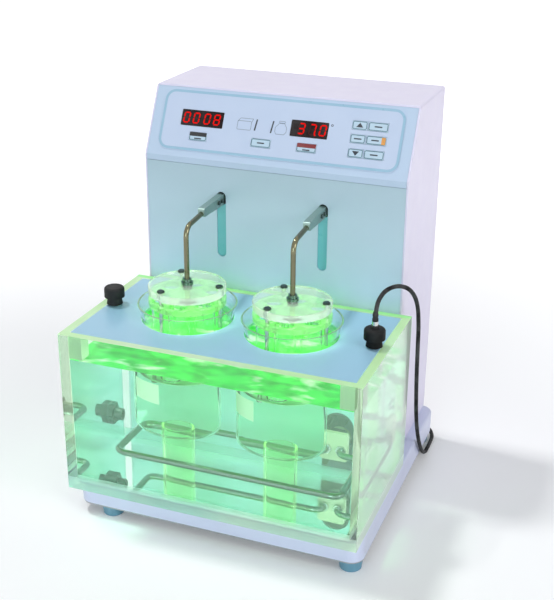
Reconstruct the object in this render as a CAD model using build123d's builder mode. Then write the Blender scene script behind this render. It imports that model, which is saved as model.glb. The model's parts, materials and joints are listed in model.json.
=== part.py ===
from build123d import *
import math
import os

os.makedirs("parts", exist_ok=True)

# A tablet disintegration tester with two basket racks, in millimetres.
# +Z is up, X runs across the front and the front faces -Y.
# The origin is the bottom centre of the box round everything but the probe's cable and plug.

# Sheet metal, cuts and clearances
sheet = 2.0
overrun = 60.0
panel_gap = 0.2
fit_gap = 0.1
running_gap = 0.05
loose_gap = 0.3

# Plan of the whole instrument
base_width = 356.0
tank_front_reach = 200.0
tower_depth = 158.0
tower_step = 14.0
socket_reach = 8.0
tower_front = (tank_front_reach - tower_depth - socket_reach) / 2
tower_back = tower_front + tower_depth
tank_front = tower_front - tank_front_reach
tower_width = base_width - 2 * tower_step

# Base tray on its feet
tray_height = 32.0
tray_corner = 16.0
tray_bend = 3.0
tray_front_setback = 20.0
plate_inset = 0.6
foot_height = 14.0
foot_radius = 14.0
foot_taper = 1.5
foot_recess_radius = 6.0
foot_recess_depth = 5.0
foot_edge = 1.0
foot_left_inset = 39.0
foot_right_inset = 16.0
foot_end_inset = 16.0
cable_hole_width = 180.0
cable_hole_depth = 30.0
cable_hole_setback = 40.0
tray_bottom = foot_height
tray_top = tray_bottom + tray_height
tray_front = tank_front + tray_front_setback
tray_depth = tower_back - tray_front
tray_middle = (tower_back + tray_front) / 2
foot_left_x = base_width / 2 - foot_left_inset
foot_right_x = base_width / 2 - foot_right_inset
foot_spots = [
    (-foot_left_x, tray_front + foot_end_inset),
    (foot_right_x, tray_front + foot_end_inset),
    (-foot_left_x, tower_back - foot_end_inset),
    (foot_right_x, tower_back - foot_end_inset),
]

# Acrylic bath tank
tank_wall = 10.0
tank_floor = 8.0
tank_height = 199.0
tank_edge = 0.6
tank_gap = 3.0
block_width = 16.0
block_height = 28.0
tank_bottom = tray_top
tank_top = tank_bottom + tank_height
tank_back = tower_front - tank_gap
tank_depth = tank_back - tank_front
tank_middle = (tank_back + tank_front) / 2
bath_width = base_width - 2 * tank_wall
bath_depth = tank_depth - 2 * tank_wall
bath_bottom = tank_bottom + tank_floor
bath_front = tank_front + tank_wall

# Basket racks: six tubes between two plates, under a thick top disc
tube_radius = 12.5
tube_wall = 1.8
tube_length = 77.5
tube_space = 4.5
tube_first_angle = 35.0
tube_count = 6
tube_seat_gap = 0.1
tube_circle = (2 * tube_radius + tube_space) / (2 * math.sin(math.pi / tube_count))
plate_rim = 3.0
rack_plate = 6.0
seat_lip = 0.3
seat_step = 2.0
seat_floor = 2.5
seat_hole_radius = tube_radius - tube_wall + seat_lip
disc_radius = tube_circle + tube_radius + plate_rim
disc_lift = 32.0
disc_thickness = 8.4
disc_edge = 0.8
disc_to_tubes = 10.0
hub_radius = 7.0
hub_neck_radius = 5.2
hub_flange = 3.0
hub_height = 6.8
mesh_thickness = 0.6
mesh_pitch = 4.0
mesh_wire = 1.0
mesh_rows = 4
mesh_hole = mesh_pitch - mesh_wire
stud_inset = 6.3
stud_radius = 2.5
stud_first_angle = 5.0
stud_count = 3
stud_nut_radius = 4.2
stud_nut_height = 3.0
stud_circle = disc_radius - stud_inset
disc_screw_radius = 4.4
disc_screw_height = 2.4
disc_bottom = tank_top + disc_lift
disc_top = disc_bottom + disc_thickness
tube_top = disc_bottom - disc_to_tubes
tube_bottom = tube_top - tube_length
upper_plate_bottom = tube_top + seat_step - rack_plate
lower_plate_bottom = tube_bottom - seat_floor
mesh_bottom = lower_plate_bottom - mesh_thickness

# Glass beakers, a little wider than the racks, and their stands
basket_clearance = 5.8
beaker_wall = 2.2
beaker_floor = 2.5
beaker_height = 145.8
beaker_corner = 8.0
beaker_rim_lift = 18.8
flare_reach = 4.9
flare_height = 16.8
flare_bend = 12.0
rim_share = 0.4
stand_radius = 20.0
stand_wall = 3.0
beaker_radius = disc_radius + basket_clearance + beaker_wall
flare_radius = beaker_radius + flare_reach
beaker_top = tank_top + beaker_rim_lift
beaker_bottom = beaker_top - beaker_height
flare_start = beaker_top - flare_height

# Cover plate with its two knobs, and the basket places between them
cover_thickness = 3.0
cover_gap = 0.7
cover_corner = 2.0
cover_hole_gap = 0.8
cover_bottom = tank_top - cover_thickness
knob_inset = 8.0
knob_pad_radius = 7.0
knob_pad_height = 1.5
knob_foot_radius = 9.5
knob_foot_height = 9.0
knob_cap_radius = 12.0
knob_height = 22.5
knob_round = 3.0
knob_waist = 1.2
knob_boss_radius = 5.0
knob_boss_height = 3.2
stem_radius = 4.0
nut_radius = 6.4
nut_height = 3.0
middle_gap_share = 0.2019
arm_reach = 99.3
knob_x = bath_width / 2 - knob_inset
free_width = knob_x - knob_cap_radius - 2 * flare_radius
basket_x = flare_radius + middle_gap_share * free_width
basket_y = tower_front - arm_reach
basket_spots = [(-basket_x, basket_y), (basket_x, basket_y)]

# Heater loop, its flange in the rear wall and the arch behind it
heater_radius = 4.0
heater_lift = 40.0
heater_leg_pitch = 18.0
heater_left_inset = 43.0
heater_right_inset = 18.0
heater_flange_inset = 39.0
heater_front_inset = 28.0
heater_back_inset = 25.0
heater_bend = 12.0
flange_width = 34.0
flange_height = 36.0
flange_depth = 8.0
flange_corner = 4.0
flange_lift = 3.0
shank_radius = 14.5
shank_reach = 12.0
back_nut_radius = 17.0
back_nut_depth = 6.0
gland_radius = 6.5
gland_depth = 4.5
arch_clearance = 2.0
arch_rise = 40.0
arch_lift = 4.0
heater_z = bath_bottom + heater_lift
heater_left_x = bath_width / 2 - heater_left_inset
heater_right_x = bath_width / 2 - heater_right_inset
heater_x = heater_right_x - heater_flange_inset
heater_left_leg = heater_x - heater_leg_pitch / 2
heater_right_leg = heater_x + heater_leg_pitch / 2
heater_front = bath_front + heater_front_inset
heater_back = tank_back - tank_wall - heater_back_inset
flange_front = tank_back - tank_wall - flange_depth
shank_back = tank_back + shank_reach
arch_radius = back_nut_radius + arch_clearance
arch_top = heater_z + arch_rise
arch_bottom = tray_top + arch_lift

# Bath nozzle in the left wall
nozzle_setback = 64.0
nozzle_lift = 50.0
nozzle_shank_radius = 9.0
nozzle_nut_radius = 15.0
nozzle_nut_depth = 8.0
nozzle_tip_radius = 8.0
nozzle_reach = 18.0
nozzle_bore = 5.0
nozzle_y = tower_front - nozzle_setback
nozzle_z = bath_bottom + nozzle_lift
wall_inside_x = -base_width / 2 + tank_wall

# Heights of the arms and of the tower, each from the one below
arm_rise = 81.0
fold_rise = 46.4
panel_rise = 77.8
arm_z = disc_bottom + arm_rise
fold_z = arm_z + fold_rise
tower_top = fold_z + panel_rise

# Tower housing and its panels
panel_lean = 39.7
housing_bend = 3.0
rear_flange = 12.0
lip_height = 7.2
lip_gap = 0.4
front_flange = 10.0
panel_half = tower_width / 2 - sheet - panel_gap
lean_angle = math.atan(panel_lean / panel_rise)
panel_length = math.hypot(panel_lean, panel_rise)
fold_offset = sheet * math.tan(lean_angle / 2)
slope_top = panel_length - (sheet + panel_gap) / math.cos(lean_angle)
front_panel_top = fold_z - lip_height - lip_gap

# Vertical travel of the baskets, with the slots that let the arms through
stroke = 55.0
slot_width = 12.0
slot_above_arm = 8.8
slot_below_arm = 18.8
slot_top = arm_z + slot_above_arm
slot_bottom = arm_z - stroke - slot_below_arm

# Carriage on its guide rods
rod_plane = 24.0
guide_radius = 5.0
bush_wall = 3.0
bush_overhang = 2.0
bush_collar = 1.5
carriage_width = 236.0
carriage_web = 2.0
carriage_end = 18.0
carriage_above_arm = 10.0
carriage_height = 28.0
carriage_corner = 4.0
bush_radius = guide_radius + bush_wall
guide_x = carriage_width / 2 - carriage_end
carriage_depth = 2 * (bush_radius + carriage_web)
carriage_top = arm_z + carriage_above_arm
carriage_bottom = carriage_top - carriage_height
carriage_front = tower_front + rod_plane - carriage_depth / 2
carriage_back = carriage_front + carriage_depth

# Arms and their rods
bracket_thickness = 8.0
bracket_root = 13.0
bracket_tip = 10.0
bracket_front_reach = 58.0
bracket_round = 2.5
bracket_back = carriage_front - tower_front
rod_radius = 3.0
rod_socket = 18.0
rod_drop = 5.0
rod_bend = 13.0
arm_screw_radius = 2.6
arm_screw_height = 1.6
arm_screw_reach = 12.0
arm_screw_pitch = 9.0

# Yoke on the carriage, crank gear and pinion
pin_radius = 6.0
pin_gap = 1.0
yoke_thickness = 6.0
yoke_drop = 22.0
yoke_gap = 0.3
yoke_end_web = 9.2
yoke_side_web = 7.7
throw = stroke / 2
yoke_slot_length = 2 * (throw + pin_radius + yoke_gap)
yoke_slot_height = 2 * (pin_radius + yoke_gap)
yoke_z = arm_z - yoke_drop
yoke_back = carriage_back + yoke_thickness
crank_z = yoke_z - throw
gear_module = 1.5
gear_teeth = 64
pinion_teeth = 16
pressure_angle = math.radians(20.0)
dedendum_share = 1.25
backlash = 0.25
gear_thickness = 8.0
gear_behind_yoke = 8.0
gear_hole_radius = 8.5
gear_hole_circle = 30.0
gear_hole_count = 6
crank_shaft_radius = 6.0
crank_shaft_length = 18.0
crank_hub_radius = 12.0
bearing_radius = 10.0
bearing_flange_radius = 17.0
bearing_flange = 4.0
bearing_reach = 12.0
pinion_shaft_radius = 4.0
pinion_shaft_length = 24.0
gear_tip_radius = gear_module * (gear_teeth / 2 + 1)
pinion_x = gear_module * (gear_teeth + pinion_teeth) / 2
gear_front = yoke_back + gear_behind_yoke
gear_back = gear_front + gear_thickness

# Drive frame that holds the guide rods, the crank's bearing and the gear motor
frame_gap = 2.0
frame_plate = 4.0
frame_flange = 20.0
frame_below_gear = 27.0
frame_above_carriage = 28.0
shelf_margin = 18.0
shelf_thickness = 8.0
shelf_end = 8.0
shelf_setback = 12.0
rod_end = 2.0
frame_front = gear_back + frame_gap
frame_back = frame_front + frame_plate
frame_bottom = crank_z - gear_tip_radius - frame_below_gear
frame_top = carriage_top + frame_above_carriage
shelf_width = 2 * (guide_x + shelf_margin)
shelf_front = tower_front + shelf_setback
shelf_depth = frame_front - shelf_front
lower_shelf_bottom = frame_bottom + shelf_end
upper_shelf_bottom = frame_top - shelf_end - shelf_thickness

# Gear motor, as long as the tower leaves room for
gearbox_size = 60.0
gearbox_depth = 30.0
gearbox_corner = 4.0
motor_radius = 26.0
motor_clearance = 4.0
motor_cap_radius = 20.0
motor_cap = 4.0
gearbox_back = frame_back + gearbox_depth
motor_back = tower_back - sheet - motor_clearance - motor_cap
motor_length = motor_back - gearbox_back

# Leaned control panel: places across it are x, places up its slope are u
overlay_thickness = 0.6
overlay_side_inset = 13.8
overlay_corner = 11.0
overlay_low_share = 0.0916
overlay_high_share = 0.9388
overlay_width = 2 * (panel_half - overlay_side_inset)
overlay_low = overlay_low_share * panel_length
overlay_high = overlay_high_share * panel_length
window_height = 19.2
window_depth = 1.4
window_proud = 0.3
window_round = 1.0
window_row_share = 0.5541
time_window_width = 54.0
time_window_share = -0.5995
temperature_window_width = 45.4
temperature_window_share = 0.2361
window_u = window_row_share * panel_length
windows = [
    (time_window_share * panel_half, time_window_width),
    (temperature_window_share * panel_half, temperature_window_width),
]
key_height = 10.2
key_rise = 1.0
key_flange = 1.2
key_flange_thickness = 1.0
key_flange_gap = 0.1
key_round = 1.0
key_edge = 0.3
key_press = 0.5
key_space = 1.2
time_key_share = -0.61
time_key_width = 22.5
probe_key_share = -0.1131
probe_key_width = 24.6
temperature_key_share = 0.2373
temperature_key_width = 23.9
cluster_share = 0.7373
cluster_left_width = 17.8
cluster_right_width = 23.4
low_row_share = 0.3023
middle_row_share = 0.4934
high_row_share = 0.6743
cluster_right = cluster_share * panel_half
cluster_left = cluster_right - (cluster_left_width + cluster_right_width) / 2 - key_space
key_low = low_row_share * panel_length
key_middle = middle_row_share * panel_length
key_high = high_row_share * panel_length
keys = {
    "key_time": (time_key_share * panel_half, key_low, time_key_width),
    "key_probe": (probe_key_share * panel_half, key_low, probe_key_width),
    "key_temperature": (temperature_key_share * panel_half, key_low, temperature_key_width),
    "key_up": (cluster_left, key_high, cluster_left_width),
    "key_mode": (cluster_left, key_middle, cluster_left_width),
    "key_down": (cluster_left, key_low, cluster_left_width),
    "key_start": (cluster_right, key_high, cluster_right_width),
    "key_enter": (cluster_right, key_middle, cluster_right_width),
    "key_menu": (cluster_right, key_low, cluster_right_width),
}
key_flange_top = -sheet - key_flange_gap

# Display board behind the control panel
board_side_inset = 16.8
board_low_share = 0.1717
board_high_share = 0.8243
board_depth = 6.4
board_thickness = 1.6
board_corner = 3.0
switch_size = 6.0
switch_body = 1.6
switch_button_radius = 1.7
switch_gap = 0.2
board_stud_radius = 2.5
board_stud_inset = 6.0
board_width = 2 * (panel_half - board_side_inset)
board_low = board_low_share * panel_length
board_high = board_high_share * panel_length
board_height = board_high - board_low
board_u = (board_low + board_high) / 2
key_back = key_flange_top - key_flange_thickness
switch_button = board_depth - switch_body + key_back - key_press - switch_gap

# Rear panel with its inlet, sockets, vents and screws
inlet_inset = 51.8
inlet_lift = 64.0
inlet_width = 28.0
inlet_height = 48.0
inlet_frame = 3.0
inlet_frame_depth = 2.5
inlet_depth = 25.0
inlet_corner = 2.0
socket_mouth_width = 22.0
socket_mouth_height = 15.0
socket_mouth_depth = 14.0
socket_mouth_drop = 11.5
pin_blade_width = 2.0
pin_blade_height = 4.0
pin_blade_pitch = 7.0
pin_blade_length = 10.0
rocker_width = 18.0
rocker_height = 14.0
rocker_rise = 12.0
rocker_depth = 5.0
rocker_tilt = 7.0
probe_socket_inset = 41.8
probe_socket_lift = 46.0
probe_socket_pitch = 30.0
socket_radius = 8.0
socket_nut_radius = 10.0
socket_nut_depth = 3.0
socket_collar_radius = 6.0
socket_inner_length = 16.0
socket_bore = 3.6
socket_bore_depth = 6.0
vent_length = 44.0
vent_width = 4.0
vent_pitch = 10.0
vent_count = 8
vent_spread = 150.0
vent_drop = 152.2
screw_radius = 3.8
screw_height = 2.2
screw_core = 1.9
screw_length = 8.0
screw_side_inset = 6.0
screw_low_inset = 34.0
screw_high_inset = 42.2
inlet_x = inlet_inset - panel_half
inlet_z = tray_top + inlet_lift
inlet_front = tower_back + inlet_frame_depth
mouth_z = inlet_z - socket_mouth_drop
rocker_z = inlet_z + rocker_rise
rocker_lean = math.radians(rocker_tilt)
rocker_half = rocker_height / 2 - rocker_depth * math.sin(rocker_lean)
rocker_end = rocker_depth - panel_gap - rocker_half * math.sin(rocker_lean)
rocker_dip = rocker_end - rocker_half * math.tan(rocker_lean)
probe_socket_x = panel_half - probe_socket_inset
probe_socket_z = tray_top + probe_socket_lift
socket_spots = [
    (probe_socket_x, probe_socket_z),
    (probe_socket_x, probe_socket_z + probe_socket_pitch),
]
vent_z = tower_top - vent_drop
screw_x = panel_half - screw_side_inset
screw_low = tray_top + screw_low_inset
screw_high = tower_top - screw_high_inset
screw_spots = []
for screw_z in (screw_low, (screw_low + screw_high) / 2, screw_high):
    screw_spots += [(-screw_x, screw_z), (screw_x, screw_z)]

# Electronics on the tray
stand_off = 6.0
board_plate = 1.6
main_board_width = 130.0
main_board_depth = 80.0
main_board_space = 28.0
main_board_corner = 3.0
electronics_setback = 62.0
stand_off_radius = 3.0
stand_off_inset = 5.0
capacitor_radius = 8.0
capacitor_height = 24.0
chip_width = 22.0
chip_height = 3.5
relay_width = 16.0
relay_height = 18.0
fin_count = 6
fin_pitch = 6.0
fin_thickness = 2.0
fin_length = 30.0
fin_height = 22.0
fin_base = 3.0
core_inset = 49.8
core_width = 78.0
core_depth = 36.0
core_height = 66.0
winding_width = 44.0
winding_depth = 60.0
winding_height = 40.0
winding_round = 6.0
core_foot = 12.0
core_foot_thickness = 2.5
electronics_y = tower_back - electronics_setback
core_x = core_inset - panel_half
main_board_x = core_x + (core_width + main_board_width) / 2 + main_board_space
board_bottom = tray_top + stand_off
board_top = board_bottom + board_plate

# Temperature probe, with its cable and plug
sheath_radius = 2.5
sheath_below_cover = 112.0
ferrule_radius = 3.6
ferrule_height = 5.3
cable_radius = 2.5
cable_run_share = 0.45
plug_body_radius = 7.5
plug_body_length = 16.0
plug_barrel_radius = 5.2
plug_barrel_drop = 20.0
plug_relief_drop = 14.0
plug_relief_radius = 3.4
sheath_bottom = cover_bottom - sheath_below_cover
knob_top = tank_top + knob_height + knob_boss_height
probe_top = knob_top + ferrule_height
plug_back = tower_back + socket_reach + plug_body_length
plug_y = plug_back - plug_body_length / 2
plug_barrel_end = probe_socket_z - plug_barrel_drop
plug_exit_z = plug_barrel_end - plug_relief_drop
cable_route = [
    (160.0, -82.3, 276.0),
    (160.0, -81.9, 289.0),
    (161.2, -75.0, 300.0),
    (165.0, -58.0, 305.0),
    (172.0, -30.5, 300.0),
    (178.5, -2.5, 285.5),
    (183.0, 16.5, 262.5),
    (184.0, 25.0, 230.0),
    (183.5, 30.0, 184.0),
    (183.5, 36.0, 136.0),
    (183.0, 48.0, 92.0),
    (182.0, 71.0, 52.0),
    (181.5, 98.0, 19.5),
    (181.2, 122.0, 3.4),
    (181.0, 148.0, 3.2),
    (180.0, 173.0, 3.0),
    (168.0, 194.0, 3.0),
    (148.0, 202.5, 3.2),
    (130.0, 198.0, 8.0),
    (120.0, 191.5, 24.0),
    (120.0, 191.0, 40.0),
    (120.0, 191.0, 57.9),
]


def level(height, x=0, y=0):
    """A plane that faces up at a height, its origin over the spot x, y."""
    return Plane(origin=(x, y, height), x_dir=(1, 0, 0), z_dir=(0, 0, 1))


def facing_front(y, x=0, z=0):
    """A plane that faces the front: its own x runs across and its own y runs up."""
    return Plane(origin=(x, y, z), x_dir=(1, 0, 0), z_dir=(0, -1, 0))


def facing_side(x, y=0, z=0):
    """A plane that faces the right side: its own x runs to the back and its own y up."""
    return Plane(origin=(x, y, z), x_dir=(0, 1, 0), z_dir=(1, 0, 0))


def on_slope(height, x=0, u=0):
    """A plane on the leaned control panel, raised off its outer face by a height."""
    slope = Plane(
        origin=(0, tower_front, fold_z),
        x_dir=(1, 0, 0),
        z_dir=(0, -math.cos(lean_angle), math.sin(lean_angle)),
    )
    spot = slope.from_local_coords(Vector(x, u, height))
    return Plane(origin=spot, x_dir=(1, 0, 0), z_dir=slope.z_dir)


def upright(x, y):
    """The vertical axis through the spot x, y."""
    return Axis((x, y, 0), (0, 0, 1))


def ring_spots(centre, radius, count, first_angle):
    """Spots evenly spaced on a circle about a centre."""
    spots = []
    for step in range(count):
        angle = math.radians(first_angle + step * 360 / count)
        spots.append((centre[0] + radius * math.cos(angle), centre[1] + radius * math.sin(angle)))
    return spots


tube_spots = []
stud_spots = []
for spot in basket_spots:
    tube_spots += ring_spots(spot, tube_circle, tube_count, tube_first_angle)
    stud_spots += ring_spots(spot, stud_circle, stud_count, stud_first_angle)

# Rubber feet, tapered, each with a recess for its screw
with BuildPart() as feet:
    with BuildSketch(level(0)):
        with Locations(*foot_spots):
            Circle(foot_radius - foot_taper)
    extrude(amount=foot_height, taper=-math.degrees(math.atan(foot_taper / foot_height)))
    chamfer(feet.edges().group_by(Axis.Z)[0], foot_edge)
    with BuildSketch(level(0)):
        with Locations(*foot_spots):
            Circle(foot_recess_radius)
    extrude(amount=foot_recess_depth, mode=Mode.SUBTRACT)
feet.part.label = "feet"
export_step(feet.part, "parts/feet.step")

# Base plate that closes the tray from below, with two rows of vents under the tower
with BuildPart() as base_plate:
    with BuildSketch(level(tray_bottom, y=tray_middle)):
        RectangleRounded(
            base_width - 2 * plate_inset, tray_depth - 2 * plate_inset, tray_corner - plate_inset
        )
    extrude(amount=sheet)
    with BuildSketch(level(tray_bottom, y=tower_back - tower_depth / 2)):
        with GridLocations(vent_pitch, vent_length + vent_pitch, vent_count, 2):
            SlotOverall(vent_length, vent_width, rotation=90)
    extrude(amount=overrun, both=True, mode=Mode.SUBTRACT)
base_plate.part.label = "base_plate"
export_step(base_plate.part, "parts/base_plate.step")

# Base tray: a folded pan turned over, with a hole under the tower for the wires
with BuildPart() as base_tray:
    with BuildSketch(level(tray_bottom + sheet, y=tray_middle)):
        RectangleRounded(base_width, tray_depth, tray_corner)
    extrude(amount=tray_height - sheet)
    fillet(base_tray.edges().group_by(Axis.Z)[-1], tray_bend)
    with BuildSketch(level(tray_bottom + sheet, y=tray_middle)):
        RectangleRounded(base_width - 2 * sheet, tray_depth - 2 * sheet, tray_corner - sheet)
    extrude(amount=tray_height - 2 * sheet, mode=Mode.SUBTRACT)
    with BuildSketch(level(tray_top, y=tower_front + cable_hole_setback)):
        RectangleRounded(cable_hole_width, cable_hole_depth, tray_bend)
    extrude(amount=tray_height / 2, both=True, mode=Mode.SUBTRACT)
base_tray.part.label = "base_tray"
export_step(base_tray.part, "parts/base_tray.step")

# Bath tank of thick clear sheet, open at the top, with the heater and nozzle holes
with BuildPart() as bath_tank:
    with BuildSketch(level(tank_bottom, y=tank_middle)):
        Rectangle(base_width, tank_depth)
    extrude(amount=tank_height)
    chamfer(bath_tank.edges().filter_by(Axis.Z), tank_edge)
    with BuildSketch(level(bath_bottom, y=tank_middle)):
        Rectangle(bath_width, bath_depth)
    extrude(amount=tank_height, mode=Mode.SUBTRACT)
    with BuildSketch(facing_front(tank_back, x=heater_x, z=heater_z + flange_lift)):
        Circle(shank_radius + fit_gap)
    extrude(amount=tank_wall * 2, both=True, mode=Mode.SUBTRACT)
    with BuildSketch(facing_side(-base_width / 2, y=nozzle_y, z=nozzle_z)):
        Circle(nozzle_shank_radius + fit_gap)
    extrude(amount=tank_wall * 2, both=True, mode=Mode.SUBTRACT)
bath_tank.part.label = "bath_tank"
export_step(bath_tank.part, "parts/bath_tank.step")

# Blocks bonded into the tank's four corners, which the cover plate rests on
with BuildPart() as cover_support_blocks:
    with BuildSketch(level(cover_bottom - block_height, y=tank_middle)):
        with GridLocations(bath_width - block_width, bath_depth - block_width, 2, 2):
            Rectangle(block_width, block_width)
    extrude(amount=block_height)
cover_support_blocks.part.label = "cover_support_blocks"
export_step(cover_support_blocks.part, "parts/cover_support_blocks.step")

# Clear tubular stands that hold the beakers up from the bath floor
with BuildPart() as beaker_stands:
    with BuildSketch(level(bath_bottom)):
        with Locations(*basket_spots):
            Circle(stand_radius)
            Circle(stand_radius - stand_wall, mode=Mode.SUBTRACT)
    extrude(amount=beaker_bottom - panel_gap - bath_bottom)
beaker_stands.part.label = "beaker_stands"
export_step(beaker_stands.part, "parts/beaker_stands.step")

# Cover plate let in between the tank's walls
with BuildPart() as cover_plate:
    with BuildSketch(level(cover_bottom, y=tank_middle)):
        RectangleRounded(bath_width - 2 * cover_gap, bath_depth - 2 * cover_gap, cover_corner)
    extrude(amount=cover_thickness)
    with BuildSketch(level(cover_bottom)):
        with Locations(*basket_spots):
            Circle(beaker_radius + cover_hole_gap)
        with Locations((-knob_x, basket_y), (knob_x, basket_y)):
            Circle(stem_radius + fit_gap)
    extrude(amount=overrun, both=True, mode=Mode.SUBTRACT)
cover_plate.part.label = "cover_plate"
export_step(cover_plate.part, "parts/cover_plate.step")

# Waisted lift knobs, each clamped through the cover; the right one carries the probe
for name, place, boss, bore in (
    ("cover_knob", -knob_x, 0, 0),
    ("probe_knob", knob_x, knob_boss_height, sheath_radius + fit_gap),
):
    with BuildPart() as knob:
        with BuildSketch(facing_front(basket_y, x=place, z=tank_top)):
            with BuildLine():
                Polyline(
                    (0, 0),
                    (knob_pad_radius, 0),
                    (knob_pad_radius, knob_pad_height),
                    (knob_foot_radius, knob_pad_height),
                    (knob_foot_radius - knob_waist, knob_foot_height),
                    (knob_cap_radius, knob_foot_height + knob_waist),
                    (knob_cap_radius, knob_height),
                    (0, knob_height),
                    close=True,
                )
            make_face()
        revolve(axis=upright(place, basket_y))
        fillet(knob.edges().group_by(Axis.Z)[-1], knob_round)
        with BuildSketch(level(cover_bottom - nut_height, x=place, y=basket_y)):
            Circle(stem_radius)
        extrude(amount=cover_thickness + nut_height)
        with BuildSketch(level(cover_bottom - nut_height, x=place, y=basket_y)):
            RegularPolygon(nut_radius, 6)
        extrude(amount=nut_height)
        if boss:
            with BuildSketch(level(tank_top + knob_height - knob_round, x=place, y=basket_y)):
                Circle(knob_boss_radius)
            extrude(amount=boss + knob_round)
            with BuildSketch(level(cover_bottom, x=place, y=basket_y)):
                Circle(bore)
            extrude(amount=overrun, both=True, mode=Mode.SUBTRACT)
    knob.part.label = name
    export_step(knob.part, f"parts/{name}.step")

# Glass beakers with rounded feet and flared rims, one under each basket rack
for name, spot in zip(("beaker_left", "beaker_right"), basket_spots):
    with BuildPart() as beaker:
        with BuildSketch(facing_front(spot[1], x=spot[0])):
            with BuildLine():
                outside = FilletPolyline(
                    (0, beaker_bottom),
                    (beaker_radius, beaker_bottom),
                    (beaker_radius, flare_start),
                    (flare_radius, beaker_top),
                    radius=[beaker_corner, flare_bend],
                )
                inside = FilletPolyline(
                    (0, beaker_bottom + beaker_floor),
                    (beaker_radius - beaker_wall, beaker_bottom + beaker_floor),
                    (beaker_radius - beaker_wall, flare_start),
                    (flare_radius - beaker_wall, beaker_top),
                    radius=[beaker_corner - beaker_wall, flare_bend],
                )
                Line(outside @ 0, inside @ 0)
                Line(outside @ 1, inside @ 1)
            make_face()
        revolve(axis=upright(*spot))
        chamfer(beaker.edges().group_by(Axis.Z)[-1], beaker_wall * rim_share)
    beaker.part.label = name
    export_step(beaker.part, f"parts/{name}.step")

# Heater: one bent tube that leaves its flange to both sides and closes round the bath
with BuildPart() as heater_loop:
    with BuildLine(level(heater_z)) as heater_path:
        FilletPolyline(
            (heater_left_leg, shank_back),
            (heater_left_leg, heater_back),
            (-heater_left_x, heater_back),
            (-heater_left_x, heater_front),
            (heater_right_x, heater_front),
            (heater_right_x, heater_back),
            (heater_right_leg, heater_back),
            (heater_right_leg, shank_back),
            radius=heater_bend,
        )
    with BuildSketch(facing_front(shank_back, x=heater_left_leg, z=heater_z)):
        Circle(heater_radius)
    sweep()
heater_loop.part.label = "heater_loop"
export_step(heater_loop.part, "parts/heater_loop.step")

# Heater flange against the inside of the rear wall, with its shank through the wall
with BuildPart() as heater_flange:
    with BuildSketch(facing_front(tank_back - tank_wall, x=heater_x, z=heater_z + flange_lift)):
        RectangleRounded(flange_width, flange_height, flange_corner)
    extrude(amount=flange_depth)
    with BuildSketch(facing_front(shank_back, x=heater_x, z=heater_z + flange_lift)):
        Circle(shank_radius)
    extrude(amount=shank_reach + tank_wall)
    with BuildSketch(facing_front(shank_back, x=heater_x, z=heater_z)):
        with GridLocations(heater_leg_pitch, 0, 2, 1):
            Circle(heater_radius + fit_gap)
    extrude(amount=overrun, both=True, mode=Mode.SUBTRACT)
heater_flange.part.label = "heater_flange"
export_step(heater_flange.part, "parts/heater_flange.step")

# Two gland nuts round the heater's legs and the flange's back nut outside the wall
with BuildPart() as heater_glands:
    with BuildSketch(facing_front(flange_front, x=heater_x, z=heater_z)):
        with GridLocations(heater_leg_pitch, 0, 2, 1):
            RegularPolygon(gland_radius, 6)
            Circle(heater_radius + fit_gap, mode=Mode.SUBTRACT)
    extrude(amount=gland_depth)
    with BuildSketch(
        facing_front(tank_back + back_nut_depth, x=heater_x, z=heater_z + flange_lift)
    ):
        RegularPolygon(back_nut_radius, 6)
        Circle(shank_radius + fit_gap, mode=Mode.SUBTRACT)
    extrude(amount=back_nut_depth)
heater_glands.part.label = "heater_glands"
export_step(heater_glands.part, "parts/heater_glands.step")

# Bath nozzle through the left wall, with its nut and hose tip inside
with BuildPart() as bath_nozzle:
    with BuildSketch(facing_side(-base_width / 2, y=nozzle_y, z=nozzle_z)):
        Circle(nozzle_shank_radius)
    extrude(amount=tank_wall)
    with BuildSketch(facing_side(wall_inside_x, y=nozzle_y, z=nozzle_z)):
        RegularPolygon(nozzle_nut_radius, 6)
    extrude(amount=nozzle_nut_depth)
    with BuildSketch(facing_side(wall_inside_x, y=nozzle_y, z=nozzle_z)):
        Circle(nozzle_tip_radius)
    extrude(amount=nozzle_reach)
    with BuildSketch(facing_side(wall_inside_x, y=nozzle_y, z=nozzle_z)):
        Circle(nozzle_bore)
    extrude(amount=overrun, both=True, mode=Mode.SUBTRACT)
bath_nozzle.part.label = "bath_nozzle"
export_step(bath_nozzle.part, "parts/bath_nozzle.step")

# Tower housing: one sheet over both sides and the top, with flanges turned in at the back
with BuildPart() as tower_housing:
    with BuildSketch(facing_side(-tower_width / 2)):
        with BuildLine():
            Polyline(
                (tower_front, tray_top),
                (tower_front, fold_z),
                (tower_front + panel_lean, tower_top),
                (tower_back, tower_top),
                (tower_back, tray_top),
                close=True,
            )
        make_face()
    extrude(amount=tower_width)
    fillet(
        tower_housing.edges().filter_by(Axis.Y).group_by(Axis.Z)[-1],
        housing_bend,
    )
    with BuildSketch(level(tray_top - overrun)):
        Rectangle(tower_width - 2 * sheet, tower_depth * 4)
    extrude(amount=overrun + tower_top - sheet - tray_top, mode=Mode.SUBTRACT)
    with BuildSketch(level(tray_top, y=tower_back - sheet * 3 / 2)):
        with GridLocations(tower_width - 2 * sheet - rear_flange, 0, 2, 1):
            Rectangle(rear_flange, sheet)
    extrude(amount=tower_top - sheet - tray_top)
    with BuildSketch(facing_front(tower_back)):
        with Locations(*screw_spots):
            Circle(screw_core + fit_gap)
    extrude(amount=overrun, both=True, mode=Mode.SUBTRACT)
tower_housing.part.label = "tower_housing"
export_step(tower_housing.part, "parts/tower_housing.step")

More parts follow.
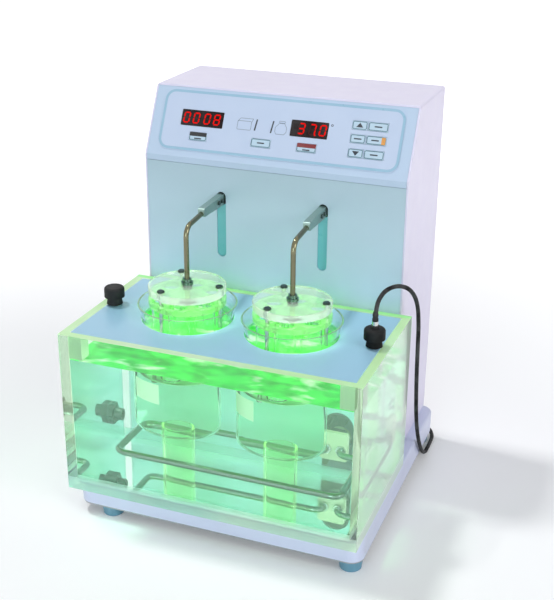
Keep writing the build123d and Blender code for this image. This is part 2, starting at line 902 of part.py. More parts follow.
# Lower front panel with a top flange, the two arm slots and the arch for the heater's nut
with BuildPart() as front_panel:
    with BuildSketch(facing_side(-panel_half, y=tower_front)):
        with BuildLine():
            Polyline(
                (0, tray_top),
                (0, front_panel_top),
                (front_flange, front_panel_top),
                (front_flange, front_panel_top - sheet),
                (sheet, front_panel_top - sheet),
                (sheet, tray_top),
                close=True,
            )
        make_face()
    extrude(amount=panel_half * 2)
    with BuildSketch(facing_front(tower_front)):
        with Locations((0, (slot_top + slot_bottom) / 2)):
            with GridLocations(basket_x * 2, 0, 2, 1):
                SlotOverall(slot_top - slot_bottom, slot_width, rotation=90)
        with Locations((heater_x, arch_top - arch_radius)):
            Circle(arch_radius)
        with Locations((heater_x, (arch_top - arch_radius + arch_bottom) / 2)):
            Rectangle(arch_radius * 2, arch_top - arch_radius - arch_bottom)
    extrude(amount=overrun, both=True, mode=Mode.SUBTRACT)
front_panel.part.label = "front_panel"
export_step(front_panel.part, "parts/front_panel.step")

# Leaned control panel with its upright lip, the display and key cut-outs and four studs
with BuildPart() as control_panel:
    with BuildSketch(facing_side(-panel_half, y=tower_front, z=fold_z)):
        with BuildLine():
            Polyline(
                (0, -lip_height),
                (0, 0),
                (slope_top * math.sin(lean_angle), slope_top * math.cos(lean_angle)),
                (
                    slope_top * math.sin(lean_angle) + sheet * math.cos(lean_angle),
                    slope_top * math.cos(lean_angle) - sheet * math.sin(lean_angle),
                ),
                (sheet, -fold_offset),
                (sheet, -lip_height),
                close=True,
            )
        make_face()
    extrude(amount=panel_half * 2)
    with BuildSketch(on_slope(0)):
        for place, width in windows:
            with Locations((place, window_u)):
                RectangleRounded(width + 2 * panel_gap, window_height + 2 * panel_gap, window_round)
        for place, height, width in keys.values():
            with Locations((place, height)):
                RectangleRounded(width + 2 * loose_gap, key_height + 2 * loose_gap, key_round)
    extrude(amount=sheet * 2, both=True, mode=Mode.SUBTRACT)
    with BuildSketch(on_slope(-board_depth, u=board_u)):
        with GridLocations(
            board_width - 2 * board_stud_inset, board_height - 2 * board_stud_inset, 2, 2
        ):
            Circle(board_stud_radius)
    extrude(amount=board_depth - sheet)
control_panel.part.label = "control_panel"
export_step(control_panel.part, "parts/control_panel.step")

# Printed overlay bonded to the control panel, cut out for the displays and keys
with BuildPart() as panel_overlay:
    with BuildSketch(on_slope(0, u=(overlay_low + overlay_high) / 2)):
        RectangleRounded(overlay_width, overlay_high - overlay_low, overlay_corner)
    extrude(amount=overlay_thickness)
    with BuildSketch(on_slope(0)):
        for place, width in windows:
            with Locations((place, window_u)):
                RectangleRounded(width + 2 * panel_gap, window_height + 2 * panel_gap, window_round)
        for place, height, width in keys.values():
            with Locations((place, height)):
                RectangleRounded(width + 2 * loose_gap, key_height + 2 * loose_gap, key_round)
    extrude(amount=overrun, both=True, mode=Mode.SUBTRACT)
panel_overlay.part.label = "panel_overlay"
export_step(panel_overlay.part, "parts/panel_overlay.step")

# Dark display windows, just proud of the sheet that they are let into
with BuildPart() as display_windows:
    with BuildSketch(on_slope(-window_depth)):
        for place, width in windows:
            with Locations((place, window_u)):
                RectangleRounded(width, window_height, window_round)
    extrude(amount=window_depth + overlay_thickness + window_proud)
display_windows.part.label = "display_windows"
export_step(display_windows.part, "parts/display_windows.step")

# Keys: a cap in its cut-out, kept in by a flange above and below behind the sheet
for name, (place, height, width) in keys.items():
    with BuildPart() as key:
        with BuildSketch(on_slope(key_back, x=place, u=height)):
            RectangleRounded(width, key_height + 2 * (key_flange + loose_gap), key_round)
        extrude(amount=key_flange_thickness)
        with BuildSketch(on_slope(key_flange_top, x=place, u=height)):
            RectangleRounded(width, key_height, key_round)
        extrude(amount=key_rise - key_flange_top)
        cap_face = key.faces().sort_by(Axis((0, 0, 0), on_slope(0).z_dir))[-1]
        chamfer(cap_face.edges(), key_edge)
    key.part.label = name
    export_step(key.part, f"parts/{name}.step")

# Display board behind the control panel: two digit blocks and a push switch under each key
with BuildPart() as display_board:
    with BuildSketch(on_slope(-board_depth - board_thickness, u=board_u)):
        RectangleRounded(board_width, board_height, board_corner)
    extrude(amount=board_thickness)
    with BuildSketch(on_slope(-board_depth)):
        for place, width in windows:
            with Locations((place, window_u)):
                Rectangle(width - 2 * window_round, window_height - 2 * window_round)
    extrude(amount=board_depth - window_depth - switch_gap)
    with BuildSketch(on_slope(-board_depth)):
        for place, height, width in keys.values():
            with Locations((place, height)):
                Rectangle(switch_size, switch_size)
    extrude(amount=switch_body)
    with BuildSketch(on_slope(-board_depth + switch_body)):
        for place, height, width in keys.values():
            with Locations((place, height)):
                Circle(switch_button_radius)
    extrude(amount=switch_button)
display_board.part.label = "display_board"
export_step(display_board.part, "parts/display_board.step")

# Rear panel over the housing's flanges, with vents and the inlet and socket cut-outs
with BuildPart() as rear_panel:
    with BuildSketch(facing_front(tower_back, z=(tray_top + tower_top - sheet) / 2)):
        Rectangle(panel_half * 2, tower_top - sheet - tray_top - 2 * panel_gap)
    extrude(amount=sheet)
    with BuildSketch(facing_front(tower_back)):
        with Locations((inlet_x, inlet_z)):
            Rectangle(inlet_width + 2 * panel_gap, inlet_height + 2 * panel_gap)
        with Locations(*socket_spots):
            Circle(socket_radius + fit_gap)
        with Locations((0, vent_z)):
            with GridLocations(vent_spread, vent_pitch, 2, vent_count):
                SlotOverall(vent_length, vent_width)
        with Locations(*screw_spots):
            Circle(screw_core + fit_gap)
    extrude(amount=overrun, both=True, mode=Mode.SUBTRACT)
rear_panel.part.label = "rear_panel"
export_step(rear_panel.part, "parts/rear_panel.step")

# Mains inlet module: frame, three-pin socket below and the well of the switch above
with BuildPart() as mains_inlet:
    with BuildSketch(facing_front(inlet_front, x=inlet_x, z=inlet_z)):
        RectangleRounded(inlet_width + 2 * inlet_frame, inlet_height + 2 * inlet_frame, inlet_corner)
    extrude(amount=inlet_frame_depth)
    with BuildSketch(facing_front(tower_back, x=inlet_x, z=inlet_z)):
        Rectangle(inlet_width, inlet_height)
    extrude(amount=inlet_depth)
    with BuildSketch(facing_front(inlet_front, x=inlet_x, z=mouth_z)):
        RectangleRounded(socket_mouth_width, socket_mouth_height, inlet_corner)
    extrude(amount=socket_mouth_depth, mode=Mode.SUBTRACT)
    with BuildSketch(facing_front(inlet_front, x=inlet_x, z=rocker_z)):
        Rectangle(rocker_width + 2 * loose_gap, rocker_height + 2 * loose_gap)
    extrude(amount=rocker_depth * 2, mode=Mode.SUBTRACT)
    with BuildSketch(facing_front(inlet_front - socket_mouth_depth, x=inlet_x, z=mouth_z)):
        with GridLocations(pin_blade_pitch, 0, 3, 1):
            Rectangle(pin_blade_width, pin_blade_height)
    extrude(amount=-pin_blade_length)
mains_inlet.part.label = "mains_inlet"
export_step(mains_inlet.part, "parts/mains_inlet.step")

# Rocker of the mains switch: hollow between its two ends, tilted on its pivot in the well
with BuildPart() as power_rocker:
    with BuildSketch(
        Plane(
            origin=(inlet_x - rocker_width / 2, inlet_front - rocker_depth, rocker_z),
            x_dir=(0, math.cos(rocker_lean), math.sin(rocker_lean)),
            z_dir=(1, 0, 0),
        )
    ):
        with BuildLine():
            Polyline(
                (rocker_end, rocker_half),
                (rocker_dip, 0),
                (rocker_end, -rocker_half),
                (-rocker_depth / 2, -rocker_half / 2),
                (-rocker_depth / 2, rocker_half / 2),
                close=True,
            )
        make_face()
    extrude(amount=rocker_width)
power_rocker.part.label = "power_rocker"
export_step(power_rocker.part, "parts/power_rocker.step")

# Two round probe sockets, each with its ring nut and a collar that the plug meets
with BuildPart() as probe_sockets:
    with BuildSketch(facing_front(tower_back + socket_nut_depth)):
        with Locations(*socket_spots):
            RegularPolygon(socket_nut_radius, 6)
    extrude(amount=socket_nut_depth)
    with BuildSketch(facing_front(tower_back)):
        with Locations(*socket_spots):
            Circle(socket_radius)
    extrude(amount=socket_inner_length)
    with BuildSketch(facing_front(tower_back + socket_reach)):
        with Locations(*socket_spots):
            Circle(socket_collar_radius)
    extrude(amount=socket_reach)
    with BuildSketch(facing_front(tower_back + socket_reach)):
        with Locations(*socket_spots):
            Circle(socket_bore)
    extrude(amount=socket_bore_depth, mode=Mode.SUBTRACT)
probe_sockets.part.label = "probe_sockets"
export_step(probe_sockets.part, "parts/probe_sockets.step")

# Domed screws that hold the rear panel to the housing's flanges
with BuildPart() as case_screws:
    with BuildSketch(facing_front(tower_back + screw_height)):
        with Locations(*screw_spots):
            Circle(screw_radius)
    extrude(amount=screw_height)
    chamfer(case_screws.edges().group_by(Axis.Y)[-1], screw_height * rim_share)
    with BuildSketch(facing_front(tower_back)):
        with Locations(*screw_spots):
            Circle(screw_core)
    extrude(amount=screw_length)
case_screws.part.label = "case_screws"
export_step(case_screws.part, "parts/case_screws.step")

# Drive frame: a wide back plate with side flanges and two shelves that hold the guide rods
with BuildPart() as drive_frame:
    with BuildSketch(level(frame_bottom)):
        with Locations((0, (frame_front + frame_back) / 2)):
            Rectangle(panel_half * 2, frame_plate)
        with Locations((0, frame_back + frame_flange / 2)):
            with GridLocations(panel_half * 2 - frame_plate, 0, 2, 1):
                Rectangle(frame_plate, frame_flange)
    extrude(amount=frame_top - frame_bottom)
    for shelf_bottom in (lower_shelf_bottom, upper_shelf_bottom):
        with BuildSketch(level(shelf_bottom, y=shelf_front + shelf_depth / 2)):
            Rectangle(shelf_width, shelf_depth)
        extrude(amount=shelf_thickness)
    with BuildSketch(level(lower_shelf_bottom, y=tower_front + rod_plane)):
        with GridLocations(guide_x * 2, 0, 2, 1):
            Circle(guide_radius + fit_gap)
    extrude(amount=frame_top - frame_bottom, both=True, mode=Mode.SUBTRACT)
    with BuildSketch(facing_front(frame_front, z=crank_z)):
        Circle(bearing_radius + fit_gap)
        with Locations((pinion_x, 0)):
            Circle(bearing_radius)
    extrude(amount=frame_plate * 2, both=True, mode=Mode.SUBTRACT)
drive_frame.part.label = "drive_frame"
export_step(drive_frame.part, "parts/drive_frame.step")

# Polished guide rods between the shelves
with BuildPart() as guide_rods:
    with BuildSketch(level(lower_shelf_bottom - rod_end, y=tower_front + rod_plane)):
        with GridLocations(guide_x * 2, 0, 2, 1):
            Circle(guide_radius)
    extrude(amount=upper_shelf_bottom + shelf_thickness - lower_shelf_bottom + 2 * rod_end)
guide_rods.part.label = "guide_rods"
export_step(guide_rods.part, "parts/guide_rods.step")

# Flanged bearing in the back plate for the crank's shaft
with BuildPart() as crank_bearing:
    with BuildSketch(facing_front(frame_back, z=crank_z)):
        Circle(bearing_radius)
    extrude(amount=frame_plate)
    with BuildSketch(facing_front(frame_back + bearing_flange, z=crank_z)):
        Circle(bearing_flange_radius)
    extrude(amount=bearing_flange)
    with BuildSketch(facing_front(frame_back + bearing_reach, z=crank_z)):
        Circle(bearing_radius)
    extrude(amount=bearing_reach)
    with BuildSketch(facing_front(frame_back, z=crank_z)):
        Circle(crank_shaft_radius + running_gap)
    extrude(amount=overrun, both=True, mode=Mode.SUBTRACT)
crank_bearing.part.label = "crank_bearing"
export_step(crank_bearing.part, "parts/crank_bearing.step")

# Gear motor behind the back plate, with the bore that the pinion's shaft turns in
with BuildPart() as drive_motor:
    with BuildSketch(facing_front(gearbox_back, x=pinion_x, z=crank_z)):
        RectangleRounded(gearbox_size, gearbox_size, gearbox_corner)
    extrude(amount=gearbox_depth)
    with BuildSketch(facing_front(motor_back, x=pinion_x, z=crank_z)):
        Circle(motor_radius)
    extrude(amount=motor_length)
    with BuildSketch(facing_front(motor_back + motor_cap, x=pinion_x, z=crank_z)):
        Circle(motor_cap_radius)
    extrude(amount=motor_cap)
    with BuildSketch(facing_front(frame_back, x=pinion_x, z=crank_z)):
        Circle(pinion_shaft_radius + running_gap)
    extrude(amount=-pinion_shaft_length, mode=Mode.SUBTRACT)
drive_motor.part.label = "drive_motor"
export_step(drive_motor.part, "parts/drive_motor.step")


def involute(angle):
    """How far an involute has turned where its pressure angle is this."""
    return math.tan(angle) - angle


def gear_outline(teeth, turn):
    """Points round a spur gear whose first tooth points at the angle turn."""
    pitch_radius = gear_module * teeth / 2
    base_radius = pitch_radius * math.cos(pressure_angle)
    root_radius = pitch_radius - dedendum_share * gear_module
    radii = [root_radius, pitch_radius, pitch_radius + gear_module]
    if base_radius > root_radius:
        radii.insert(1, base_radius)
    half_tooth = (math.pi * gear_module / 2 - backlash) / (2 * pitch_radius)
    points = []
    for tooth in range(teeth):
        middle = turn + 2 * math.pi * tooth / teeth
        flank = []
        for radius in radii:
            angle = math.acos(min(base_radius / radius, 1))
            flank.append((radius, half_tooth + involute(pressure_angle) - involute(angle)))
        for radius, half in flank:
            points.append((radius * math.cos(middle - half), radius * math.sin(middle - half)))
        for radius, half in reversed(flank):
            points.append((radius * math.cos(middle + half), radius * math.sin(middle + half)))
    return points


# Crank gear: a toothed wheel with lightening holes, its crank pin, hub and shaft
with BuildPart() as crank_gear:
    with BuildSketch(facing_front(gear_back, z=crank_z)):
        with BuildLine():
            Polyline(*gear_outline(gear_teeth, 0), close=True)
        make_face()
        with PolarLocations(gear_hole_circle, gear_hole_count):
            Circle(gear_hole_radius, mode=Mode.SUBTRACT)
    extrude(amount=gear_thickness)
    with BuildSketch(facing_front(frame_front - loose_gap, z=crank_z)):
        Circle(crank_hub_radius)
    extrude(amount=frame_gap - loose_gap)
    with BuildSketch(facing_front(gear_back, z=crank_z)):
        Circle(crank_shaft_radius)
    extrude(amount=-crank_shaft_length)
    with BuildSketch(facing_front(gear_front, z=crank_z + throw)):
        Circle(pin_radius)
    extrude(amount=gear_behind_yoke - pin_gap)
    chamfer(crank_gear.edges().group_by(Axis.Y)[0], pin_radius * rim_share / 2)
crank_gear.part.label = "crank_gear"
export_step(crank_gear.part, "parts/crank_gear.step")

# Motor pinion with its shaft, a tooth space turned towards the crank gear
with BuildPart() as motor_pinion:
    with BuildSketch(facing_front(gear_back, x=pinion_x, z=crank_z)):
        with BuildLine():
            Polyline(*gear_outline(pinion_teeth, math.pi / pinion_teeth), close=True)
        make_face()
    extrude(amount=gear_thickness)
    with BuildSketch(facing_front(gear_back, x=pinion_x, z=crank_z)):
        Circle(pinion_shaft_radius)
    extrude(amount=-pinion_shaft_length)
motor_pinion.part.label = "motor_pinion"
export_step(motor_pinion.part, "parts/motor_pinion.step")

# Carriage: the bar that rides the guide rods, with the slotted yoke for the crank pin
with BuildPart() as carriage:
    with BuildSketch(facing_front(carriage_back, z=(carriage_top + carriage_bottom) / 2)):
        RectangleRounded(carriage_width, carriage_height, carriage_corner)
    extrude(amount=carriage_depth)
    with BuildSketch(facing_front(yoke_back, z=yoke_z)):
        RectangleRounded(
            yoke_slot_length + 2 * yoke_end_web, yoke_slot_height + 2 * yoke_side_web, carriage_corner
        )
    extrude(amount=yoke_thickness)
    with BuildSketch(facing_front(yoke_back, z=yoke_z)):
        SlotOverall(yoke_slot_length, yoke_slot_height)
    extrude(amount=yoke_thickness, mode=Mode.SUBTRACT)
    with BuildSketch(level(carriage_bottom, y=tower_front + rod_plane)):
        with GridLocations(guide_x * 2, 0, 2, 1):
            Circle(bush_radius + fit_gap)
    extrude(amount=overrun, both=True, mode=Mode.SUBTRACT)
carriage.part.label = "carriage"
export_step(carriage.part, "parts/carriage.step")

# Flanged bushes pressed into the carriage, a running fit on the rods
with BuildPart() as carriage_bushes:
    with BuildSketch(level(carriage_bottom - bush_overhang, y=tower_front + rod_plane)):
        with GridLocations(guide_x * 2, 0, 2, 1):
            Circle(bush_radius)
    extrude(amount=carriage_height + bush_overhang)
    with BuildSketch(level(carriage_bottom - bush_overhang, y=tower_front + rod_plane)):
        with GridLocations(guide_x * 2, 0, 2, 1):
            Circle(bush_radius + bush_collar)
    extrude(amount=bush_overhang)
    with BuildSketch(level(carriage_bottom, y=tower_front + rod_plane)):
        with GridLocations(guide_x * 2, 0, 2, 1):
            Circle(guide_radius + running_gap)
    extrude(amount=overrun, both=True, mode=Mode.SUBTRACT)
carriage_bushes.part.label = "carriage_bushes"
export_step(carriage_bushes.part, "parts/carriage_bushes.step")

# Rod line: out of the bracket, a little down, then straight down to the basket hub
rod_start = (tower_front - bracket_front_reach + rod_socket, arm_z)
rod_corner = (basket_y, arm_z - rod_drop)
rod_slope = Vector(0, rod_corner[0] - rod_start[0], rod_corner[1] - rod_start[1])

# Arm brackets: flat bars tapered in height, bored at the tip for the rods
with BuildPart() as arm_brackets:
    for place in (-basket_x, basket_x):
        with BuildSketch(facing_side(place - bracket_thickness / 2, y=tower_front, z=arm_z)):
            with BuildLine():
                Polyline(
                    (bracket_back, bracket_root / 2),
                    (bracket_back, -bracket_root / 2),
                    (sheet, -bracket_root / 2),
                    (-bracket_front_reach, -bracket_tip / 2),
                    (-bracket_front_reach, bracket_tip / 2),
                    (sheet, bracket_root / 2),
                    close=True,
                )
            make_face()
        extrude(amount=bracket_thickness)
    fillet(arm_brackets.edges().filter_by(Axis.X).group_by(Axis.Y)[0], bracket_round)
    for place in (-basket_x, basket_x):
        with BuildSketch(Plane(origin=(place, *rod_start), x_dir=(1, 0, 0), z_dir=rod_slope)):
            Circle(rod_radius + fit_gap)
        extrude(amount=overrun, mode=Mode.SUBTRACT)
arm_brackets.part.label = "arm_brackets"
export_step(arm_brackets.part, "parts/arm_brackets.step")

# Polished rods bent down to the basket hubs
with BuildPart() as arm_rods:
    for place in (-basket_x, basket_x):
        with BuildLine():
            FilletPolyline(
                (place, *rod_start),
                (place, *rod_corner),
                (place, basket_y, disc_bottom),
                radius=rod_bend,
            )
        with BuildSketch(Plane(origin=(place, *rod_start), x_dir=(1, 0, 0), z_dir=rod_slope)):
            Circle(rod_radius)
        sweep()
arm_rods.part.label = "arm_rods"
export_step(arm_rods.part, "parts/arm_rods.step")

# Dark clamp screws on the outer side of each bracket, beside the front panel
with BuildPart() as arm_screws:
    for place in (-basket_x, basket_x):
        side = place + bracket_thickness / 2
        with BuildSketch(facing_side(side, y=tower_front - arm_screw_reach, z=arm_z)):
            with GridLocations(arm_screw_pitch, 0, 2, 1):
                Circle(arm_screw_radius)
        extrude(amount=arm_screw_height)
arm_screws.part.label = "arm_screws"
export_step(arm_screws.part, "parts/arm_screws.step")

# Top discs of the two racks
with BuildPart() as basket_discs:
    with BuildSketch(level(disc_bottom)):
        with Locations(*basket_spots):
            Circle(disc_radius)
            Circle(rod_radius + fit_gap, mode=Mode.SUBTRACT)
        with Locations(*stud_spots):
            Circle(stud_radius + fit_gap, mode=Mode.SUBTRACT)
    extrude(amount=disc_thickness)
    chamfer(basket_discs.edges().group_by(Axis.Z)[-1].sort_by(SortBy.RADIUS)[-2:], disc_edge)
basket_discs.part.label = "basket_discs"
export_step(basket_discs.part, "parts/basket_discs.step")

# Hubs that clamp the rods to the discs: a flange and neck above, a nut below
with BuildPart() as basket_hubs:
    with BuildSketch(level(disc_top)):
        with Locations(*basket_spots):
            Circle(hub_radius)
    extrude(amount=hub_flange)
    with BuildSketch(level(disc_top)):
        with Locations(*basket_spots):
            Circle(hub_neck_radius)
    extrude(amount=hub_height)
    with BuildSketch(level(disc_bottom - nut_height)):
        with Locations(*basket_spots):
            RegularPolygon(nut_radius, 6)
    extrude(amount=nut_height)
    with BuildSketch(level(disc_bottom)):
        with Locations(*basket_spots):
            Circle(rod_radius + fit_gap)
    extrude(amount=overrun, mode=Mode.SUBTRACT)
basket_hubs.part.label = "basket_hubs"
export_step(basket_hubs.part, "parts/basket_hubs.step")


def seat_plate(bottom, seat_bottom, seat_top, name):
    """A pair of rack plates with six stepped tube seats and three stud holes each."""
    with BuildPart() as plate:
        with BuildSketch(level(bottom)):
            with Locations(*basket_spots):
                Circle(disc_radius)
            with Locations(*tube_spots):
                Circle(seat_hole_radius, mode=Mode.SUBTRACT)
            with Locations(*stud_spots):
                Circle(stud_radius + fit_gap, mode=Mode.SUBTRACT)
        extrude(amount=rack_plate)
        with BuildSketch(level(seat_bottom)):
            with Locations(*tube_spots):
                Circle(tube_radius + tube_seat_gap)
        extrude(amount=seat_top - seat_bottom, mode=Mode.SUBTRACT)
    plate.part.label = name
    export_step(plate.part, f"parts/{name}.step")


seat_plate(upper_plate_bottom, upper_plate_bottom, tube_top, "basket_upper_plates")
seat_plate(
    lower_plate_bottom, tube_bottom, lower_plate_bottom + rack_plate, "basket_lower_plates"
)

# Twelve open glass tubes, six to a rack
with BuildPart() as basket_tubes:
    with BuildSketch(level(tube_bottom)):
        with Locations(*tube_spots):
            Circle(tube_radius)
            Circle(tube_radius - tube_wall, mode=Mode.SUBTRACT)
    extrude(amount=tube_length)
basket_tubes.part.label = "basket_tubes"
export_step(basket_tubes.part, "parts/basket_tubes.step")

# Wire mesh discs under the lower plates, open below each tube
with BuildPart() as basket_meshes:
    with BuildSketch(level(mesh_bottom)):
        with Locations(*basket_spots):
            Circle(disc_radius - disc_edge)
        with Locations(*tube_spots):
            with GridLocations(mesh_pitch, mesh_pitch, mesh_rows, mesh_rows):
                Rectangle(mesh_hole, mesh_hole, mode=Mode.SUBTRACT)
        with Locations(*stud_spots):
            Circle(stud_radius + fit_gap, mode=Mode.SUBTRACT)
    extrude(amount=mesh_thickness)
basket_meshes.part.label = "basket_meshes"
export_step(basket_meshes.part, "parts/basket_meshes.step")

# Studs through the whole rack
with BuildPart() as basket_studs:
    with BuildSketch(level(mesh_bottom - stud_nut_height)):
        with Locations(*stud_spots):
            Circle(stud_radius)
    extrude(amount=disc_top - mesh_bottom + stud_nut_height)
basket_studs.part.label = "basket_studs"
export_step(basket_studs.part, "parts/basket_studs.step")

# Nuts on the studs, which hold the meshes against the lower plates
with BuildPart() as stud_nuts:
    with BuildSketch(level(mesh_bottom - stud_nut_height)):
        with Locations(*stud_spots):
            RegularPolygon(stud_nut_radius, 6)
            Circle(stud_radius + fit_gap, mode=Mode.SUBTRACT)
    extrude(amount=stud_nut_height)
stud_nuts.part.label = "stud_nuts"
export_step(stud_nuts.part, "parts/stud_nuts.step")

# Dark domed nuts on top of the discs, one on each stud
with BuildPart() as disc_screws:
    with BuildSketch(level(disc_top)):
        with Locations(*stud_spots):
            Circle(disc_screw_radius)
    extrude(amount=disc_screw_height)
    chamfer(disc_screws.edges().group_by(Axis.Z)[-1], disc_screw_height * rim_share)
disc_screws.part.label = "disc_screws"
export_step(disc_screws.part, "parts/disc_screws.step")

# Main board on stand-offs: chip, relays, capacitors and a finned heat sink
with BuildPart() as control_board:
    with BuildSketch(level(tray_top, x=main_board_x, y=electronics_y)):
        with GridLocations(
            main_board_width - 2 * stand_off_inset, main_board_depth - 2 * stand_off_inset, 2, 2
        ):
            Circle(stand_off_radius)
    extrude(amount=stand_off)
    with BuildSketch(level(board_bottom, x=main_board_x, y=electronics_y)):
        RectangleRounded(main_board_width, main_board_depth, main_board_corner)
    extrude(amount=board_plate)
    with BuildSketch(level(board_top, x=main_board_x, y=electronics_y)):
        Rectangle(chip_width, chip_width)
    extrude(amount=chip_height)
    with BuildSketch(level(board_top, x=main_board_x, y=electronics_y + main_board_depth / 4)):
        with GridLocations(main_board_width / 3, 0, 2, 1):
            Rectangle(relay_width, relay_width)
    extrude(amount=relay_height)
    with BuildSketch(
        level(board_top, x=main_board_x - main_board_width / 3, y=electronics_y - main_board_depth / 6)
    ):
        with GridLocations(0, capacitor_radius * 2 + stand_off, 1, 2):
            Circle(capacitor_radius)
    extrude(amount=capacitor_height)
    sink_x = main_board_x + main_board_width / 3
    sink_y = electronics_y - main_board_depth / 6
    with BuildSketch(level(board_top, x=sink_x, y=sink_y)):
        Rectangle(fin_pitch * fin_count, fin_length)
    extrude(amount=fin_base)
    with BuildSketch(level(board_top, x=sink_x, y=sink_y)):
        with GridLocations(fin_pitch, 0, fin_count, 1):
            Rectangle(fin_thickness, fin_length)
    extrude(amount=fin_height)
control_board.part.label = "control_board"
export_step(control_board.part, "parts/control_board.step")

# Mains transformer on the tray, its winding round the laminated core
with BuildPart() as transformer:
    with BuildSketch(level(tray_top, x=core_x, y=electronics_y)):
        RectangleRounded(core_width, core_depth + 2 * core_foot, core_foot / 2)
    extrude(amount=core_foot_thickness)
    with BuildSketch(level(tray_top, x=core_x, y=electronics_y)):
        Rectangle(core_width, core_depth)
    extrude(amount=core_height)
    with BuildSketch(
        level(tray_top + (core_height - winding_height) / 2, x=core_x, y=electronics_y)
    ):
        RectangleRounded(winding_width, winding_depth, winding_round)
    extrude(amount=winding_height)
transformer.part.label = "transformer"
export_step(transformer.part, "parts/transformer.step")

# Probe sheath through the right knob into the bath, with its ferrule on the boss
with BuildPart() as probe_sheath:
    with BuildSketch(level(sheath_bottom, x=knob_x, y=basket_y)):
        Circle(sheath_radius)
    extrude(amount=probe_top - sheath_bottom)
    fillet(probe_sheath.edges().group_by(Axis.Z)[0], sheath_radius * rim_share)
    with BuildSketch(level(knob_top, x=knob_x, y=basket_y)):
        Circle(ferrule_radius)
    extrude(amount=ferrule_height)
probe_sheath.part.label = "probe_sheath"
export_step(probe_sheath.part, "parts/probe_sheath.step")

# Right-angle plug on the lower socket, its strain relief pointing down
with BuildPart() as probe_plug:
    with BuildSketch(facing_front(plug_back, x=probe_socket_x, z=probe_socket_z)):
        Circle(plug_body_radius)
    extrude(amount=plug_body_length)
    with BuildSketch(level(plug_barrel_end, x=probe_socket_x, y=plug_y)):
        Circle(plug_barrel_radius)
    extrude(amount=plug_barrel_drop)
    with BuildSketch(level(plug_barrel_end, x=probe_socket_x, y=plug_y)):
        Circle(plug_barrel_radius)
    with BuildSketch(level(plug_exit_z, x=probe_socket_x, y=plug_y)):
        Circle(plug_relief_radius)
    loft()
probe_plug.part.label = "probe_plug"
export_step(probe_plug.part, "parts/probe_plug.step")


def corner_radii(points):
    """The largest radius that each inner point's two runs allow."""
    radii = []
    for before, point, after in zip(points, points[1:], points[2:]):
        run_in = Vector(*point) - Vector(*before)
        run_out = Vector(*after) - Vector(*point)
        half_turn = math.radians(run_in.get_angle(run_out)) / 2
        shorter = min(run_in.length, run_out.length)
        radii.append(cable_run_share * shorter / math.tan(half_turn))
    return radii


# Probe cable: over from the knob, down beside the tower and round to the plug
with BuildPart() as probe_cable:
    with BuildLine() as cable_line:
        FilletPolyline(*cable_route, radius=corner_radii(cable_route))
    with BuildSketch(level(cable_route[0][2], x=cable_route[0][0], y=cable_route[0][1])):
        Circle(cable_radius)
    sweep()
probe_cable.part.label = "probe_cable"
export_step(probe_cable.part, "parts/probe_cable.step")
cable_length = cable_line.wires()[0].length
print("cable radii", [round(radius, 1) for radius in corner_radii(cable_route)])
print("cable length", round(cable_length, 1))
print("cable volume over section times length",
      round(probe_cable.part.volume / (math.pi * cable_radius ** 2 * cable_length), 4))
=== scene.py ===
import json
import math

import bpy
from mathutils import Matrix, Vector


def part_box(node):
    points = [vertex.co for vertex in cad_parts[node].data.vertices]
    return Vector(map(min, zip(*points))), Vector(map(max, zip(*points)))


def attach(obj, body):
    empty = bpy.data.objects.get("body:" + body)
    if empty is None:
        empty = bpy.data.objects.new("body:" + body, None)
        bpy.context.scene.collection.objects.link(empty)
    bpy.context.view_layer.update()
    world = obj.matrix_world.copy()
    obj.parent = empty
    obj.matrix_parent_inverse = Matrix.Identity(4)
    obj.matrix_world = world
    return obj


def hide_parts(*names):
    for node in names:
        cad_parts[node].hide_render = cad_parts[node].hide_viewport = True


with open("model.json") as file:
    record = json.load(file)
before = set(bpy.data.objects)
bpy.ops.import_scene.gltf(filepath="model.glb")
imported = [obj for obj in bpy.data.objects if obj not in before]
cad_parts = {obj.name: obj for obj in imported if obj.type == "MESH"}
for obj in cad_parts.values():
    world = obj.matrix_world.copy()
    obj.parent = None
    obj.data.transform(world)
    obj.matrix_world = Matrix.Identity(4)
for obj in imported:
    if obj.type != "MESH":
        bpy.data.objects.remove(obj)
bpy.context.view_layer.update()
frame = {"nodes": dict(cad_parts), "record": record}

# A tablet disintegration tester: camera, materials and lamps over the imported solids
# Lengths are written in millimetres, and times MM they are metres, the scene's unit
MM = 0.001
NODES = frame["nodes"]
SLOT_OF = {entry["node"]: entry["material_slot"] for entry in frame["record"]["subparts"]}

# Driving sizes of the object, as the solids have them
TOWER_FRONT = 17.0
FOLD_HEIGHT = 404.4
PANEL_LEAN = 39.7
PANEL_RISE = 77.8
OVERLAY_RISE = 0.6
WINDOW_RISE = 0.9
KEY_RISE = 1.0
KEY_HEIGHT = 10.2
TANK_TOP = 245.0
TANK_HEIGHT = 199.0
TANK_WALL = 10.0
TANK_FLOOR = 8.0
TANK_HALF_WIDTH = 178.0
BASKET_X = 64.4
BASKET_Y = -82.3
BEAKER_TOP = 263.8
BEAKER_HEIGHT = 145.8
BEAKER_RADIUS = 53.0
BEAKER_WALL = 2.2
BEAKER_FLOOR = 2.5
BEAKER_CORNER = 8.0
SIDES = (("left", -BASKET_X), ("right", BASKET_X))

# Levels of the two liquids, and what they keep clear of the walls that hold them
WATER_LEVEL = 213.0
LIQUID_LEVEL = 237.0
TANK_GAP = 0.15
BEAKER_GAP = 0.2

# Print lies this much above its surface, and a face this near to a height belongs to it
PROUD = 0.06
LEVEL_SKIN = 0.05
EDGE_SKIN = 0.1

LEAN = math.atan(PANEL_LEAN / PANEL_RISE)
SLOPE_UP = Vector((0, math.sin(LEAN), math.cos(LEAN)))
SLOPE_OUT = Vector((0, -math.cos(LEAN), math.sin(LEAN)))

